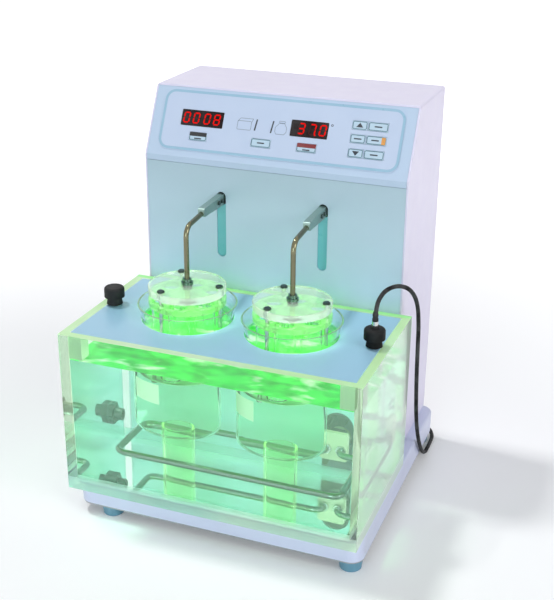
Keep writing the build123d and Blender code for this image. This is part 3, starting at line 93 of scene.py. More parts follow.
# Camera, solved from the photograph in the image size 554 by 600
CAMERA_PLACE = Vector((447.4, -1145.0, 760.0))
CAMERA_YAW = math.radians(20.698)
CAMERA_PITCH = math.radians(22.796)
CAMERA_ROLL = math.radians(0.529)
CAMERA_REACH = 20000.0
FOCAL_PIXELS = 1104.8
IMAGE_WIDTH = 554
SENSOR_WIDTH = 36.0


def make_camera():
    """The camera at the photograph's viewing angle."""
    forward = Vector((
        -math.sin(CAMERA_YAW) * math.cos(CAMERA_PITCH),
        math.cos(CAMERA_YAW) * math.cos(CAMERA_PITCH),
        -math.sin(CAMERA_PITCH),
    ))
    level_right = forward.cross(Vector((0, 0, 1))).normalized()
    level_up = level_right.cross(forward)
    right = math.cos(CAMERA_ROLL) * level_right + math.sin(CAMERA_ROLL) * level_up
    up = -math.sin(CAMERA_ROLL) * level_right + math.cos(CAMERA_ROLL) * level_up
    turn = Matrix((right, up, -forward)).transposed().to_4x4()
    data = bpy.data.cameras.new("camera")
    data.sensor_fit = "HORIZONTAL"
    data.sensor_width = SENSOR_WIDTH
    data.lens = FOCAL_PIXELS * SENSOR_WIDTH / IMAGE_WIDTH
    data.clip_end = CAMERA_REACH * MM
    camera = bpy.data.objects.new("camera", data)
    camera.matrix_world = Matrix.Translation(CAMERA_PLACE * MM) @ turn
    bpy.context.scene.collection.objects.link(camera)
    bpy.context.scene.camera = camera


def linear(red, green, blue):
    """A colour written as 0 to 255 display values, in the linear values that shaders take."""
    values = []
    for value in (red, green, blue):
        share = value / 255
        values.append(share / 12.92 if share <= 0.04045 else ((share + 0.055) / 1.055) ** 2.4)
    return (*values, 1.0)


def tinted(colour, share):
    """A colour moved towards black (below 1) or white (above 1)."""
    if share <= 1:
        return (colour[0] * share, colour[1] * share, colour[2] * share, 1.0)
    lift = share - 1
    return tuple(value + (1 - value) * lift for value in colour[:3]) + (1.0,)


# The green of the sheets: their tint, the painted glow inside sheet and glass, and the painted pale
# sheen and glow of their edges
TINT_GREEN = linear(188, 220, 180)
TINT_DENSITY = 6.0
EDGE_GLOW = linear(222, 243, 216)
GLASS_GLOW = linear(190, 255, 190)
EDGE_PALE = linear(226, 240, 220)
EDGE_PALE_SHARE = 0.75
EDGE_EMISSION = 0.06
EDGE_ROUGHNESS = 0.3
LIT_EMISSION = 0.6
LIT_ROUGHNESS = 0.4
LIT_BASE_SHARE = 0.3
# Painted glints and painted shade patches on the glowing tops of the liquids
GLINT = linear(236, 255, 226)
SHADE_SHARE = 0.62
SHEET_BEND = 1.46
WATER_BEND = 1.33
NOISE_LOW = 0.3
NOISE_HIGH = 0.7


class Edge:
    """A band of painted light along an edge of a clear piece, a pale sheen or a glow where cut
    edges give out gathered light, on the faces whose place passes every test.

    A test is an axis, a kind of comparison and a distance in millimetres. The share is how
    much of the surface the edge takes, and a lit edge has a painted glow of its own.
    """

    def __init__(self, colour, share, tests, lit=False):
        self.colour = colour
        self.share = share
        self.tests = tests
        self.lit = lit


class Material:
    """A node material on a Principled shader, with short calls for procedural detail."""

    def __init__(self, name, colour, roughness=0.5, metallic=0.0):
        self.material = bpy.data.materials.new(name)
        self.material.use_nodes = True
        self.nodes = self.material.node_tree.nodes
        self.links = self.material.node_tree.links
        self.shader = self.nodes["Principled BSDF"]
        self.output = self.nodes["Material Output"]
        self.colour = colour
        self.set("Base Color", colour)
        self.set("Roughness", roughness)
        self.set("Metallic", metallic)
        self.place = self.nodes.new("ShaderNodeTexCoord").outputs["Object"]

    def set(self, socket, value):
        self.shader.inputs[socket].default_value = value

    def drive(self, socket, value):
        self.links.new(value, self.shader.inputs[socket])

    def noise(self, scale, detail=3.0, stretch=None):
        """Noise over the object's own coordinates, at a size in features per metre."""
        source = self.place
        if stretch:
            mapping = self.nodes.new("ShaderNodeMapping")
            mapping.inputs["Scale"].default_value = stretch
            self.links.new(source, mapping.inputs["Vector"])
            source = mapping.outputs["Vector"]
        texture = self.nodes.new("ShaderNodeTexNoise")
        texture.inputs["Scale"].default_value = scale
        texture.inputs["Detail"].default_value = detail
        self.links.new(source, texture.inputs["Vector"])
        return texture.outputs["Fac"]

    def ramp(self, source, start, end, low, high, shape="LINEAR"):
        """A value that goes from low to high while its source goes from start to end."""
        node = self.nodes.new("ShaderNodeMapRange")
        node.interpolation_type = shape
        node.inputs["From Min"].default_value = start
        node.inputs["From Max"].default_value = end
        node.inputs["To Min"].default_value = low
        node.inputs["To Max"].default_value = high
        self.links.new(source, node.inputs["Value"])
        return node.outputs["Result"]

    def spread(self, noise, low, high):
        """A noise stretched from the middle of its range to low and high."""
        return self.ramp(noise, NOISE_LOW, NOISE_HIGH, low, high)

    def mix_colours(self, first, second, share):
        """Two colours, each a colour or a socket, mixed by a share."""
        mix = self.nodes.new("ShaderNodeMix")
        mix.data_type = "RGBA"
        for socket, colour in (("A", first), ("B", second)):
            if isinstance(colour, tuple):
                mix.inputs[socket].default_value = colour
            else:
                self.links.new(colour, mix.inputs[socket])
        self.links.new(share, mix.inputs["Factor"])
        return mix.outputs["Result"]

    def calculate(self, operation, first, second):
        """A socket reckoned with another socket or with a number."""
        node = self.nodes.new("ShaderNodeMath")
        node.operation = operation
        self.links.new(first, node.inputs[0])
        if isinstance(second, float):
            node.inputs[1].default_value = second
        else:
            self.links.new(second, node.inputs[1])
        return node.outputs["Value"]

    def vary_colour(self, noise, other):
        """The colour drifts towards another one with a noise."""
        self.drive("Base Color", self.mix_colours(self.colour, other, self.spread(noise, 0.0, 1.0)))

    def vary_roughness(self, noise, low, high):
        self.drive("Roughness", self.spread(noise, low, high))

    def relief(self, height, depth, strength):
        """A relief of a depth in millimetres, for a shader's Normal."""
        node = self.nodes.new("ShaderNodeBump")
        node.inputs["Distance"].default_value = depth * MM
        node.inputs["Strength"].default_value = strength
        self.links.new(height, node.inputs["Height"])
        return node.outputs["Normal"]

    def bump(self, height, depth, strength):
        self.drive("Normal", self.relief(height, depth, strength))

    def blend(self, share, shader):
        """Another shader in place of the surface where share is one."""
        mix = self.nodes.new("ShaderNodeMixShader")
        surface = self.output.inputs["Surface"].links[0].from_socket
        self.links.new(share, mix.inputs["Fac"])
        self.links.new(surface, mix.inputs[1])
        self.links.new(shader, mix.inputs[2])
        self.links.new(mix.outputs["Shader"], self.output.inputs["Surface"])

    def let_lamps_through(self, tint):
        """Light from the lamps reaches what is behind or inside a clear piece."""
        path = self.nodes.new("ShaderNodeLightPath")
        open_way = self.nodes.new("ShaderNodeBsdfTransparent")
        open_way.inputs["Color"].default_value = tint
        self.blend(path.outputs["Is Shadow Ray"], open_way.outputs["BSDF"])

    def glow_inside(self, tint, density, glow, strength):
        """A volume that tints long ways through the piece, with a painted glow in it that lights its
        edges.
        """
        absorb = self.nodes.new("ShaderNodeVolumeAbsorption")
        absorb.inputs["Color"].default_value = tint
        absorb.inputs["Density"].default_value = density
        light = self.nodes.new("ShaderNodeEmission")
        light.inputs["Color"].default_value = glow
        light.inputs["Strength"].default_value = strength
        both = self.nodes.new("ShaderNodeAddShader")
        self.links.new(absorb.outputs["Volume"], both.inputs[0])
        self.links.new(light.outputs["Emission"], both.inputs[1])
        self.links.new(both.outputs["Shader"], self.output.inputs["Volume"])

    def past(self, axis, kind, distance):
        """One where the object's own coordinate passes a test against millimetres, and else nought."""
        split = self.nodes.new("ShaderNodeSeparateXYZ")
        self.links.new(self.place, split.inputs["Vector"])
        return self.calculate(kind, split.outputs[axis], distance * MM)

    def add_edge(self, edge):
        """An edge's own shader of painted light in place of the surface, on the faces that pass its
        tests.
        """
        share = self.past(*edge.tests[0])
        for test in edge.tests[1:]:
            share = self.calculate("MULTIPLY", share, self.past(*test))
        shader = self.nodes.new("ShaderNodeBsdfPrincipled")
        if edge.lit:
            shader.inputs["Roughness"].default_value = LIT_ROUGHNESS
            shader.inputs["Base Color"].default_value = tinted(edge.colour, LIT_BASE_SHARE)
            shader.inputs["Emission Color"].default_value = edge.colour
            shader.inputs["Emission Strength"].default_value = LIT_EMISSION
        else:
            drift = self.spread(self.noise(scale=7, detail=2), 0.0, EDGE_PALE_SHARE)
            colour = self.mix_colours(edge.colour, EDGE_PALE, drift)
            shader.inputs["Roughness"].default_value = EDGE_ROUGHNESS
            shader.inputs["Emission Strength"].default_value = EDGE_EMISSION
            self.links.new(colour, shader.inputs["Base Color"])
            self.links.new(colour, shader.inputs["Emission Color"])
        self.blend(self.calculate("MULTIPLY", share, edge.share), shader.outputs["BSDF"])


def painted(name, colour, roughness=0.38, relief=0.03, painted_lower_glow=None):
    """Powder coat: fine orange peel, a slight drift of the colour and of the gloss.

    A lower glow is two heights and the colour that the lower one drifts towards: painted
    light, the lower part lighter and greener as if lit by the bath's green glow.
    """
    made = Material(name, colour, roughness)
    made.vary_colour(made.noise(scale=9), tinted(colour, share=0.955))
    if painted_lower_glow:
        low, high, low_colour = painted_lower_glow
        split = made.nodes.new("ShaderNodeSeparateXYZ")
        made.links.new(made.place, split.inputs["Vector"])
        share = made.ramp(split.outputs["Z"], low * MM, high * MM, 1.0, 0.0)
        drifting = made.shader.inputs["Base Color"].links[0].from_socket
        made.drive("Base Color", made.mix_colours(drifting, low_colour, share))
    made.vary_roughness(made.noise(scale=60), low=roughness - 0.06, high=roughness + 0.08)
    made.bump(made.noise(scale=420, detail=2), depth=relief, strength=0.1)
    made.set("Coat Weight", 0.15)
    made.set("Coat Roughness", 0.25)
    return made.material


def moulded(name, colour, roughness=0.45, grain=0.05, shine=0.5):
    """Moulded plastic: fine spark-eroded grain and soft wear in the gloss."""
    made = Material(name, colour, roughness)
    made.set("Specular IOR Level", shine)
    made.vary_colour(made.noise(scale=30), tinted(colour, share=1.04))
    made.vary_roughness(made.noise(scale=120), low=roughness - 0.08, high=roughness + 0.08)
    made.bump(made.noise(scale=600, detail=2), depth=grain, strength=0.12)
    return made.material


def metal(name, colour, roughness, stretch=None):
    """Metal with fine lines along one way, or with cloudy polish where no way is given."""
    made = Material(name, colour, roughness, metallic=1.0)
    lines = made.noise(scale=400, detail=4, stretch=stretch)
    made.vary_colour(made.noise(scale=25), tinted(colour, share=0.9))
    made.vary_roughness(lines, low=max(roughness - 0.06, 0.04), high=roughness + 0.08)
    made.bump(lines, depth=0.01, strength=0.15)
    return made.material


def clear(name, colour, glow, strength, wet_level=None, wet_bend=1.03, satin=0.0, edges=()):
    """Clear sheet or glass: slow waves in the gloss and a painted glow inside, which stands in for the
    light that gathers along the sheet.

    Below a wet level the water touches it, so light bends less there. A satin share sends
    some of the light back from the surface, as worn acrylic does. Its edges are bands of
    painted light, a painted glow or a pale painted sheen, where cut faces give out the light
    the sheet has gathered.
    """
    made = Material(name, colour, roughness=0.02)
    made.set("Transmission Weight", 1.0 - satin)
    made.set("IOR", SHEET_BEND)
    made.vary_roughness(made.noise(scale=14, detail=2), low=0.0, high=0.035)
    made.bump(made.noise(scale=35, detail=2), depth=0.05, strength=0.04)
    made.glow_inside(TINT_GREEN, TINT_DENSITY, glow, strength)
    if wet_level is not None:
        wet = made.nodes.new("ShaderNodeBsdfGlass")
        wet.inputs["Color"].default_value = colour
        wet.inputs["Roughness"].default_value = 0.0
        wet.inputs["IOR"].default_value = wet_bend
        made.blend(made.past("Z", "LESS_THAN", wet_level), wet.outputs["BSDF"])
    for edge in edges:
        made.add_edge(edge)
    made.let_lamps_through(tinted(colour, share=0.97))
    return made.material


def liquid(name, colour, bend, density, glow, strength, level, top_glow_colour, top_strength):
    """A still liquid up to a level: a painted glow inside, and painted green glow, glints and shade on
    its ripple.
    """
    made = Material(name, colour, roughness=0.0)
    made.set("Transmission Weight", 1.0)
    made.set("IOR", bend)
    ripple = made.noise(scale=40, detail=2)
    made.bump(ripple, depth=0.15, strength=0.08)
    made.glow_inside(colour, density, glow, strength)
    glints = made.noise(scale=24, detail=2, stretch=(1, 2.2, 1))
    shades = made.noise(scale=37, detail=3, stretch=(1, 1.7, 1))
    bright = made.mix_colours(top_glow_colour, GLINT, made.spread(glints, low=-2.2, high=1.5))
    darker = tinted(top_glow_colour, SHADE_SHARE)
    shaded = made.mix_colours(bright, darker, made.spread(shades, low=-0.6, high=1.2))
    top = made.nodes.new("ShaderNodeBsdfPrincipled")
    made.links.new(shaded, top.inputs["Base Color"])
    made.links.new(shaded, top.inputs["Emission Color"])
    top.inputs["Roughness"].default_value = 0.12
    top.inputs["Transmission Weight"].default_value = 0.3
    top.inputs["IOR"].default_value = WATER_BEND
    top.inputs["Emission Strength"].default_value = top_strength
    made.links.new(made.relief(ripple, depth=0.8, strength=0.5), top.inputs["Normal"])
    made.blend(made.past("Z", "GREATER_THAN", level - LEVEL_SKIN), top.outputs["BSDF"])
    made.let_lamps_through(tinted(colour, share=0.98))
    return made.material


def rubber(name, colour, roughness=0.6, shine=0.3):
    """Rubber: a dull skin with fine pores."""
    made = Material(name, colour, roughness)
    made.set("Specular IOR Level", shine)
    made.vary_colour(made.noise(scale=50), tinted(colour, share=1.08))
    made.vary_roughness(made.noise(scale=200), low=roughness - 0.1, high=roughness + 0.1)
    made.bump(made.noise(scale=1200, detail=4), depth=0.06, strength=0.3)
    return made.material


def glowing(name, colour, strength):
    """Lit digit segments, a little uneven as light-emitting dies are."""
    made = Material(name, colour, roughness=0.4)
    made.set("Specular IOR Level", 0.0)
    made.set("Emission Color", colour)
    made.set("Emission Strength", strength)
    made.vary_colour(made.noise(scale=700, detail=1), tinted(colour, share=0.7))
    return made.material


# Heights and distances that part the painted edge bands of the tank and of the beakers from their faces
TANK_RIM_LEVEL = TANK_TOP - EDGE_SKIN
FOOT_BAND = 16.1
TANK_FOOT_LEVEL = TANK_TOP - TANK_HEIGHT + FOOT_BAND
RIM_BEHIND_COVER = 6.9
BEAKER_LIP = 0.8

# Painted light on the tank: a pale rim, a paler band along the foot, a painted glow along the back rim
# and a pale painted sheen on the right wall; and a pale painted rim on the beakers
TANK_RIM = Edge(linear(194, 244, 168), 0.8, [("Z", "GREATER_THAN", TANK_RIM_LEVEL)])
TANK_FOOT = Edge(linear(158, 218, 208), 0.5, [("Z", "LESS_THAN", TANK_FOOT_LEVEL)])
TANK_BACK = Edge(
    linear(160, 246, 152), 1.0,
    [("Z", "GREATER_THAN", TANK_RIM_LEVEL), ("Y", "GREATER_THAN", RIM_BEHIND_COVER)],
    lit=True,
)
TANK_SIDE_SHEEN = Edge(
    linear(226, 230, 238), 0.34, [("X", "GREATER_THAN", TANK_HALF_WIDTH - EDGE_SKIN)]
)
BEAKER_RIM = Edge(linear(150, 216, 176), 0.45, [("Z", "GREATER_THAN", BEAKER_TOP - BEAKER_LIP)])

# Fine lines along a piece's height
UPRIGHT_LINES = (1, 1, 12)

MATERIALS = {
    "painted_shell": painted("painted_shell", linear(224, 219, 240)),
    "galvanised_steel": metal("galvanised_steel", linear(168, 172, 176), roughness=0.38),
    "foot_rubber": rubber("foot_rubber", linear(96, 146, 168)),
    "clear_acrylic": clear("clear_acrylic", linear(250, 255, 251), EDGE_GLOW, strength=3.4),
    "support_block": moulded("support_block", linear(236, 242, 246), roughness=0.25),
    "cover_blue": painted("cover_blue", linear(160, 204, 228), roughness=0.34, relief=0.01),
    "black_plastic": moulded("black_plastic", linear(11, 13, 14), roughness=0.55, shine=0.1),
    "beaker_glass": clear(
        "beaker_glass", linear(252, 255, 252), GLASS_GLOW, strength=2.0, wet_level=WATER_LEVEL,
        edges=[BEAKER_RIM],
    ),
    "stainless_steel": metal("stainless_steel", linear(206, 208, 206), roughness=0.16),
    "cream_plastic": moulded("cream_plastic", linear(232, 226, 196), roughness=0.4),
    # The front panel drifts lighter and greener towards its foot: painted light, the bath's green glow
    # on it
    "panel_teal": painted(
        "panel_teal", linear(177, 199, 211), painted_lower_glow=(270.0, 400.0, linear(200, 224, 238))
    ),
    "panel_blue": painted("panel_blue", linear(187, 205, 227)),
    "printed_overlay": moulded("printed_overlay", linear(189, 202, 225), roughness=0.4, grain=0.01),
    "display_window": moulded(
        "display_window", linear(20, 2, 4), roughness=0.3, grain=0.0, shine=0.1
    ),
    "circuit_board": moulded("circuit_board", linear(40, 110, 60), roughness=0.4),
    "key_grey": moulded("key_grey", linear(184, 206, 222), roughness=0.4, grain=0.01),
    "dark_screw": metal("dark_screw", linear(70, 84, 80), roughness=0.3),
    "bare_aluminium": metal(
        "bare_aluminium", linear(178, 192, 190), roughness=0.3, stretch=UPRIGHT_LINES
    ),
    "bush_bronze": metal("bush_bronze", linear(196, 158, 92), roughness=0.28),
    "gear_plastic": moulded("gear_plastic", linear(226, 226, 216), roughness=0.45),
    "motor_steel": painted("motor_steel", linear(66, 70, 74), roughness=0.4),
    "cable_rubber": rubber("cable_rubber", linear(10, 11, 12), roughness=0.6, shine=0.06),
}

# Pieces that look unlike the rest of their slot: clear ones that stand in a liquid or carry painted edge
# bands, and metal, plastic and paint made darker or paler, some of them as painted shade, light or
# reflection
SPECIAL = {
    "bath_tank": clear(
        "tank_acrylic", linear(250, 255, 251), EDGE_GLOW, strength=2.4,
        edges=[TANK_RIM, TANK_FOOT, TANK_BACK, TANK_SIDE_SHEEN],
    ),
    # A strong painted glow, which makes the support blocks pale in the shade under the cover
    "cover_support_blocks": clear(
        "block_acrylic", linear(236, 255, 232), EDGE_GLOW, strength=14.0, satin=0.5
    ),
    "bath_nozzle": moulded("nozzle_plastic", linear(34, 78, 70), roughness=0.3),
    # A darker, greener copy of stainless steel: painted shade and green reflection on the heater loop
    "heater_loop": metal("heater_steel", linear(136, 156, 146), roughness=0.16),
    "basket_hubs": metal("hub_metal", linear(104, 128, 118), roughness=0.25),
    "basket_tubes": clear(
        "tube_glass", linear(252, 255, 252), GLASS_GLOW, strength=1.5, wet_level=LIQUID_LEVEL
    ),
    "basket_discs": clear(
        "disc_acrylic", linear(240, 251, 240), EDGE_GLOW, strength=5.0, satin=0.22
    ),
    "basket_upper_plates": clear(
        "plate_acrylic", linear(196, 255, 180), EDGE_GLOW, strength=4.0, satin=0.3
    ),
    "basket_lower_plates": clear(
        "wet_acrylic", linear(246, 255, 246), EDGE_GLOW, strength=1.5, wet_level=LIQUID_LEVEL
    ),
    "beaker_stands": clear(
        "stand_acrylic", linear(246, 255, 240), linear(214, 255, 190), strength=9.0,
        wet_level=WATER_LEVEL, wet_bend=1.14,
    ),
    # Pale green plastic in place of the wire's metal: painted green light of the bath on the mesh
    "basket_meshes": moulded("mesh_wire", linear(206, 240, 214), roughness=0.5),
    # A dark olive copy of polished metal: painted dark reflection along the rods
    "arm_rods": metal("rod_dark_reflection", linear(122, 120, 96), roughness=0.14),
    "arm_brackets": metal(
        "bracket_metal", linear(148, 172, 166), roughness=0.45, stretch=UPRIGHT_LINES
    ),
    # A bluer copy of the shell paint, which paints the bluish light on the tray's front
    "base_tray": painted("tray_paint", linear(208, 214, 238)),
}

# Inks of the panel's printing and the displays' digits
PRINT_BLUE = moulded("print_blue", linear(150, 186, 208), roughness=0.35, grain=0.01)
INK_DARK = moulded("ink_dark", linear(36, 42, 54), roughness=0.4, grain=0.01)
INK_GREY = moulded("ink_grey", linear(120, 134, 152), roughness=0.4, grain=0.01)
INK_TEAL = moulded("ink_teal", linear(74, 112, 126), roughness=0.4, grain=0.01)
STRIP_BLACK = moulded("strip_black", linear(24, 26, 30), roughness=0.4, grain=0.01)
STRIP_RED = moulded("strip_red", linear(120, 24, 30), roughness=0.4, grain=0.01)
STRIP_AMBER = moulded("strip_amber", linear(220, 150, 70), roughness=0.4, grain=0.01)
DIGIT_LIT = glowing("digit_lit", linear(220, 18, 14), strength=0.4)
DIGIT_UNLIT = moulded("digit_unlit", linear(52, 4, 6), roughness=0.4, grain=0.0, shine=0.1)


def dress_nodes():
    """Every CAD node gets the material of its slot, or its own one of that kind."""
    for name, node in NODES.items():
        node.data.materials.clear()
        node.data.materials.append(SPECIAL.get(name, MATERIALS[SLOT_OF[name]]))


def add_mesh(name, points, faces, material, body, smooth=False):
    """A mesh piece from points in metres, which rides on a body."""
    data = bpy.data.meshes.new(name)
    data.from_pydata([tuple(point) for point in points], [], faces)
    data.validate()
    data.update()
    data.materials.append(material)
    for face in data.polygons:
        face.use_smooth = smooth
    piece = bpy.data.objects.new(name, data)
    bpy.context.scene.collection.objects.link(piece)
    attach(piece, body)
    return piece


def box_mesh(name, low, high, material, body):
    """A closed box between two corners in millimetres."""
    xs, ys, zs = zip(low, high)
    points = [Vector((x, y, z)) * MM for x in xs for y in ys for z in zs]
    faces = [(0, 1, 3, 2), (4, 6, 7, 5), (0, 4, 5, 1), (2, 3, 7, 6), (0, 2, 6, 4), (1, 5, 7, 3)]
    return add_mesh(name, points, faces, material, body)


def lathe(name, centre, profile, steps, material, body, closed=True):
    """A surface turned round an upright axis from a profile of radius and height, in millimetres."""
    points = []
    for step in range(steps):
        angle = 2 * math.pi * step / steps
        for radius, height in profile:
            points.append(Vector((
                centre[0] + radius * math.cos(angle), centre[1] + radius * math.sin(angle), height
            )) * MM)
    count = len(profile)
    faces = []
    for step in range(steps):
        here = step * count
        there = (step + 1) % steps * count
        for row in range(count if closed else count - 1):
            after = (row + 1) % count
            faces.append((here + row, there + row, there + after, here + after))
    return add_mesh(name, points, faces, material, body, smooth=True)


def on_panel(x, u, height):
    """A point on the leaned panel: x across, u up the slope, raised off it, in millimetres."""
    foot = Vector((x, TOWER_FRONT, FOLD_HEIGHT))
    return (foot + u * SLOPE_UP + height * SLOPE_OUT) * MM


def rounded(width, height, radius, steps=6):
    """Points round a rectangle with round corners, about its middle."""
    points = []
    for corner_x, corner_y, start in ((1, 1, 0), (-1, 1, 90), (-1, -1, 180), (1, -1, 270)):
        for step in range(steps + 1):
            angle = math.radians(start + 90 * step / steps)
            points.append((
                corner_x * (width / 2 - radius) + radius * math.cos(angle),
                corner_y * (height / 2 - radius) + radius * math.sin(angle),
            ))
    return points


def moved(outline, x, u):
    """An outline about nought, moved to a place across and up the panel."""
    return [(x + across, u + up) for across, up in outline]


LEAST_CORNER = 0.2


def print_ring(name, middle, size, radius, line, height, material, body="base"):
    """A printed outline: a flat ring with round corners on the leaned panel."""
    outer = rounded(size[0], size[1], radius)
    inner = rounded(size[0] - 2 * line, size[1] - 2 * line, max(radius - line, LEAST_CORNER))
    points = [on_panel(x, u, height) for x, u in moved(outer + inner, *middle)]
    count = len(outer)
    faces = []
    for here in range(count):
        after = (here + 1) % count
        faces.append((here, after, count + after, count + here))
    return add_mesh(name, points, faces, material, body)


def print_patch(name, outline, height, material, body="base"):
    """A printed patch from an outline of points across and up the panel."""
    points = [on_panel(x, u, height) for x, u in outline]
    return add_mesh(name, points, [tuple(range(len(points)))], material, body)


def print_line(name, outline, line, height, material):
    """A printed line of even width along points across and up the panel."""
    points = []
    faces = []
    for (x1, u1), (x2, u2) in zip(outline, outline[1:]):
        length = math.hypot(x2 - x1, u2 - u1)
        side_x = -(u2 - u1) / length * line / 2
        side_u = (x2 - x1) / length * line / 2
        first = len(points)
        for x, u in (
            (x1 + side_x, u1 + side_u), (x1 - side_x, u1 - side_u),
            (x2 - side_x, u2 - side_u), (x2 + side_x, u2 + side_u),
        ):
            points.append(on_panel(x, u, height))
        faces.append((first, first + 1, first + 2, first + 3))
    return add_mesh(name, points, faces, material, "base")


# Heights of the printing off the panel
OVERLAY_PRINT = OVERLAY_RISE + PROUD
WINDOW_PRINT = WINDOW_RISE + PROUD
KEY_PRINT = KEY_RISE + PROUD

# Rows and columns of the panel: places up and across it
ROW_HIGH = 58.9
ROW_DISPLAY = 48.4
ROW_MIDDLE = 43.1
ROW_LOW = 26.4
TIME_X = -98.7
PROBE_X = -18.3
TEMPERATURE_X = 38.4
ARROW_X = 97.5
RIGHT_X = 119.3

# Middle across and up the panel, and width, of every key
NARROW_KEY = 17.8
WIDE_KEY = 23.4
KEYS = {
    "key_time": (TIME_X, ROW_LOW, 22.5),
    "key_probe": (PROBE_X, ROW_LOW, 24.6),
    "key_temperature": (TEMPERATURE_X, ROW_LOW, 23.9),
    "key_up": (ARROW_X, ROW_HIGH, NARROW_KEY),
    "key_mode": (ARROW_X, ROW_MIDDLE, NARROW_KEY),
    "key_down": (ARROW_X, ROW_LOW, NARROW_KEY),
    "key_start": (RIGHT_X, ROW_HIGH, WIDE_KEY),
    "key_enter": (RIGHT_X, ROW_MIDDLE, WIDE_KEY),
    "key_menu": (RIGHT_X, ROW_LOW, WIDE_KEY),
}

# Seven-segment digits: which of the segments a to g are lit
SEGMENT_NAMES = "abcdefg"
SEGMENTS = {
    "0": "abcdef", "1": "bc", "2": "abged", "3": "abgcd", "4": "fgbc",
    "5": "afgcd", "6": "afgedc", "7": "abc", "8": "abcdefg", "9": "abfgcd",
}
SEGMENT_GAP_SHARE = 0.12
DIGIT_WIDTH = 8.4
DIGIT_HEIGHT = 13.5
DIGIT_LINE = 1.7
DIGIT_LEAN = 6
POINT_PLACE = (45.8, 42.3)
POINT_RADIUS = 1.1
POINT_CORNERS = 8


def segment_outline(letter):
    """The six corners of one segment, about the digit's middle."""
    tip = DIGIT_LINE / 2
    half_w = DIGIT_WIDTH / 2 - tip
    half_h = DIGIT_HEIGHT / 2 - tip
    gap = DIGIT_LINE * SEGMENT_GAP_SHARE
    level = {"a": half_h, "g": 0.0, "d": -half_h}
    if letter in level:
        low, high, mid = -half_w + gap, half_w - gap, level[letter]
        return [
            (low, mid), (low + tip, mid + tip), (high - tip, mid + tip),
            (high, mid), (high - tip, mid - tip), (low + tip, mid - tip),
        ]
    side = half_w if letter in "bc" else -half_w
    low, high = (gap, half_h - gap) if letter in "bf" else (-half_h + gap, -gap)
    return [
        (side, low), (side + tip, low + tip), (side + tip, high - tip),
        (side, high), (side - tip, high - tip), (side - tip, low + tip),
    ]


def print_digits(name, text, places, middle_x):
    """A row of digits, each leaned a little, with its unlit segments faintly visible."""
    lean = math.tan(math.radians(DIGIT_LEAN))
    for place, digit in zip(places, text):
        lit = SEGMENTS[digit]
        unlit = "".join(letter for letter in SEGMENT_NAMES if letter not in lit)
        for material, letters in ((DIGIT_LIT, lit), (DIGIT_UNLIT, unlit)):
            for letter in letters:
                leaned = [(x + u * lean, u) for x, u in segment_outline(letter)]
                outline = moved(leaned, middle_x + place, ROW_DISPLAY)
                print_patch(
                    f"{name}_{place:+.0f}_{letter}".replace("+", "p").replace("-", "m"),
                    outline, WINDOW_PRINT, material,
                )


def print_displays():
    """The two lit displays, with the decimal point of the right one and its degree mark."""
    print_digits("time_digit", "0008", places=(-20, -7.5, 6.5, 19), middle_x=-97)
    print_digits("bath_digit", "370", places=(-9.5, 4, 16.5), middle_x=38.2)
    print_ring(
        "degree_mark", middle=(65.0, 55.6), size=(2.8, 2.8), radius=1.4, line=0.7,
        height=OVERLAY_PRINT, material=INK_DARK,
    )
    dot = []
    for corner in range(POINT_CORNERS):
        angle = 2 * math.pi * corner / POINT_CORNERS
        dot.append((POINT_RADIUS * math.cos(angle), POINT_RADIUS * math.sin(angle)))
    print_patch(
        "decimal_point", moved(dot, *POINT_PLACE), WINDOW_PRINT, DIGIT_LIT
    )


# The two icons: points across and up the panel
ICON_LINE = 0.6
ICON_PROBE_LINE = 1.8
ICON_LINES = {
    "icon_bath_back": [(-51.5, 50), (-48, 54), (-32, 54), (-33.5, 50)],
    "icon_beaker": [
        (-2, 39), (8, 39), (10.5, 42), (10.5, 47), (7.5, 52), (1, 52), (-3.5, 47), (-3.5, 42), (-2, 39),
    ],
}
ICON_PROBES = {
    "icon_bath_probe": [(-28.8, 40.5), (-27.2, 54.0)],
    "icon_beaker_probe": [(-8.4, 39.5), (-6.6, 54.0)],
}


def print_overlay():
    """The outline round the panel, and the icons of the bath and of the beaker."""
    print_ring(
        "overlay_line", middle=(0, 45), size=(299, 73), radius=13, line=3.2,
        height=OVERLAY_PRINT, material=PRINT_BLUE,
    )
    print_ring(
        "icon_bath", middle=(-42.5, 45.5), size=(18, 11), radius=1.5, line=ICON_LINE,
        height=OVERLAY_PRINT, material=INK_GREY,
    )
    print_ring(
        "icon_beaker_rim", middle=(4.2, 53.6), size=(8, 2.6), radius=1.2, line=ICON_LINE,
        height=OVERLAY_PRINT, material=INK_GREY,
    )
    for name, outline in ICON_LINES.items():
        print_line(name, outline, ICON_LINE, OVERLAY_PRINT, INK_GREY)
    for name, outline in ICON_PROBES.items():
        print_line(name, outline, ICON_PROBE_LINE, OVERLAY_PRINT, INK_DARK)


# Strips on three keys: middle, width, height and ink
STRIP_ROW = 29.0
STRIP_HEIGHT = 4.8
STRIP_CORNER = 0.8
STRIPS = {
    "key_time": (TIME_X, STRIP_ROW, 22.0, STRIP_HEIGHT, STRIP_BLACK),
    "key_temperature": (TEMPERATURE_X, STRIP_ROW, 23.2, STRIP_HEIGHT, STRIP_RED),
    "key_enter": (127.8, ROW_MIDDLE, 4.6, 8.4, STRIP_AMBER),
}

# Arrows on two keys: which way they point, and their size about the key's middle
ARROWS = {"key_up": 1, "key_down": -1}
ARROW_HALF_WIDTH = 4.2
ARROW_FOOT = 2.4
ARROW_TIP = 3.0

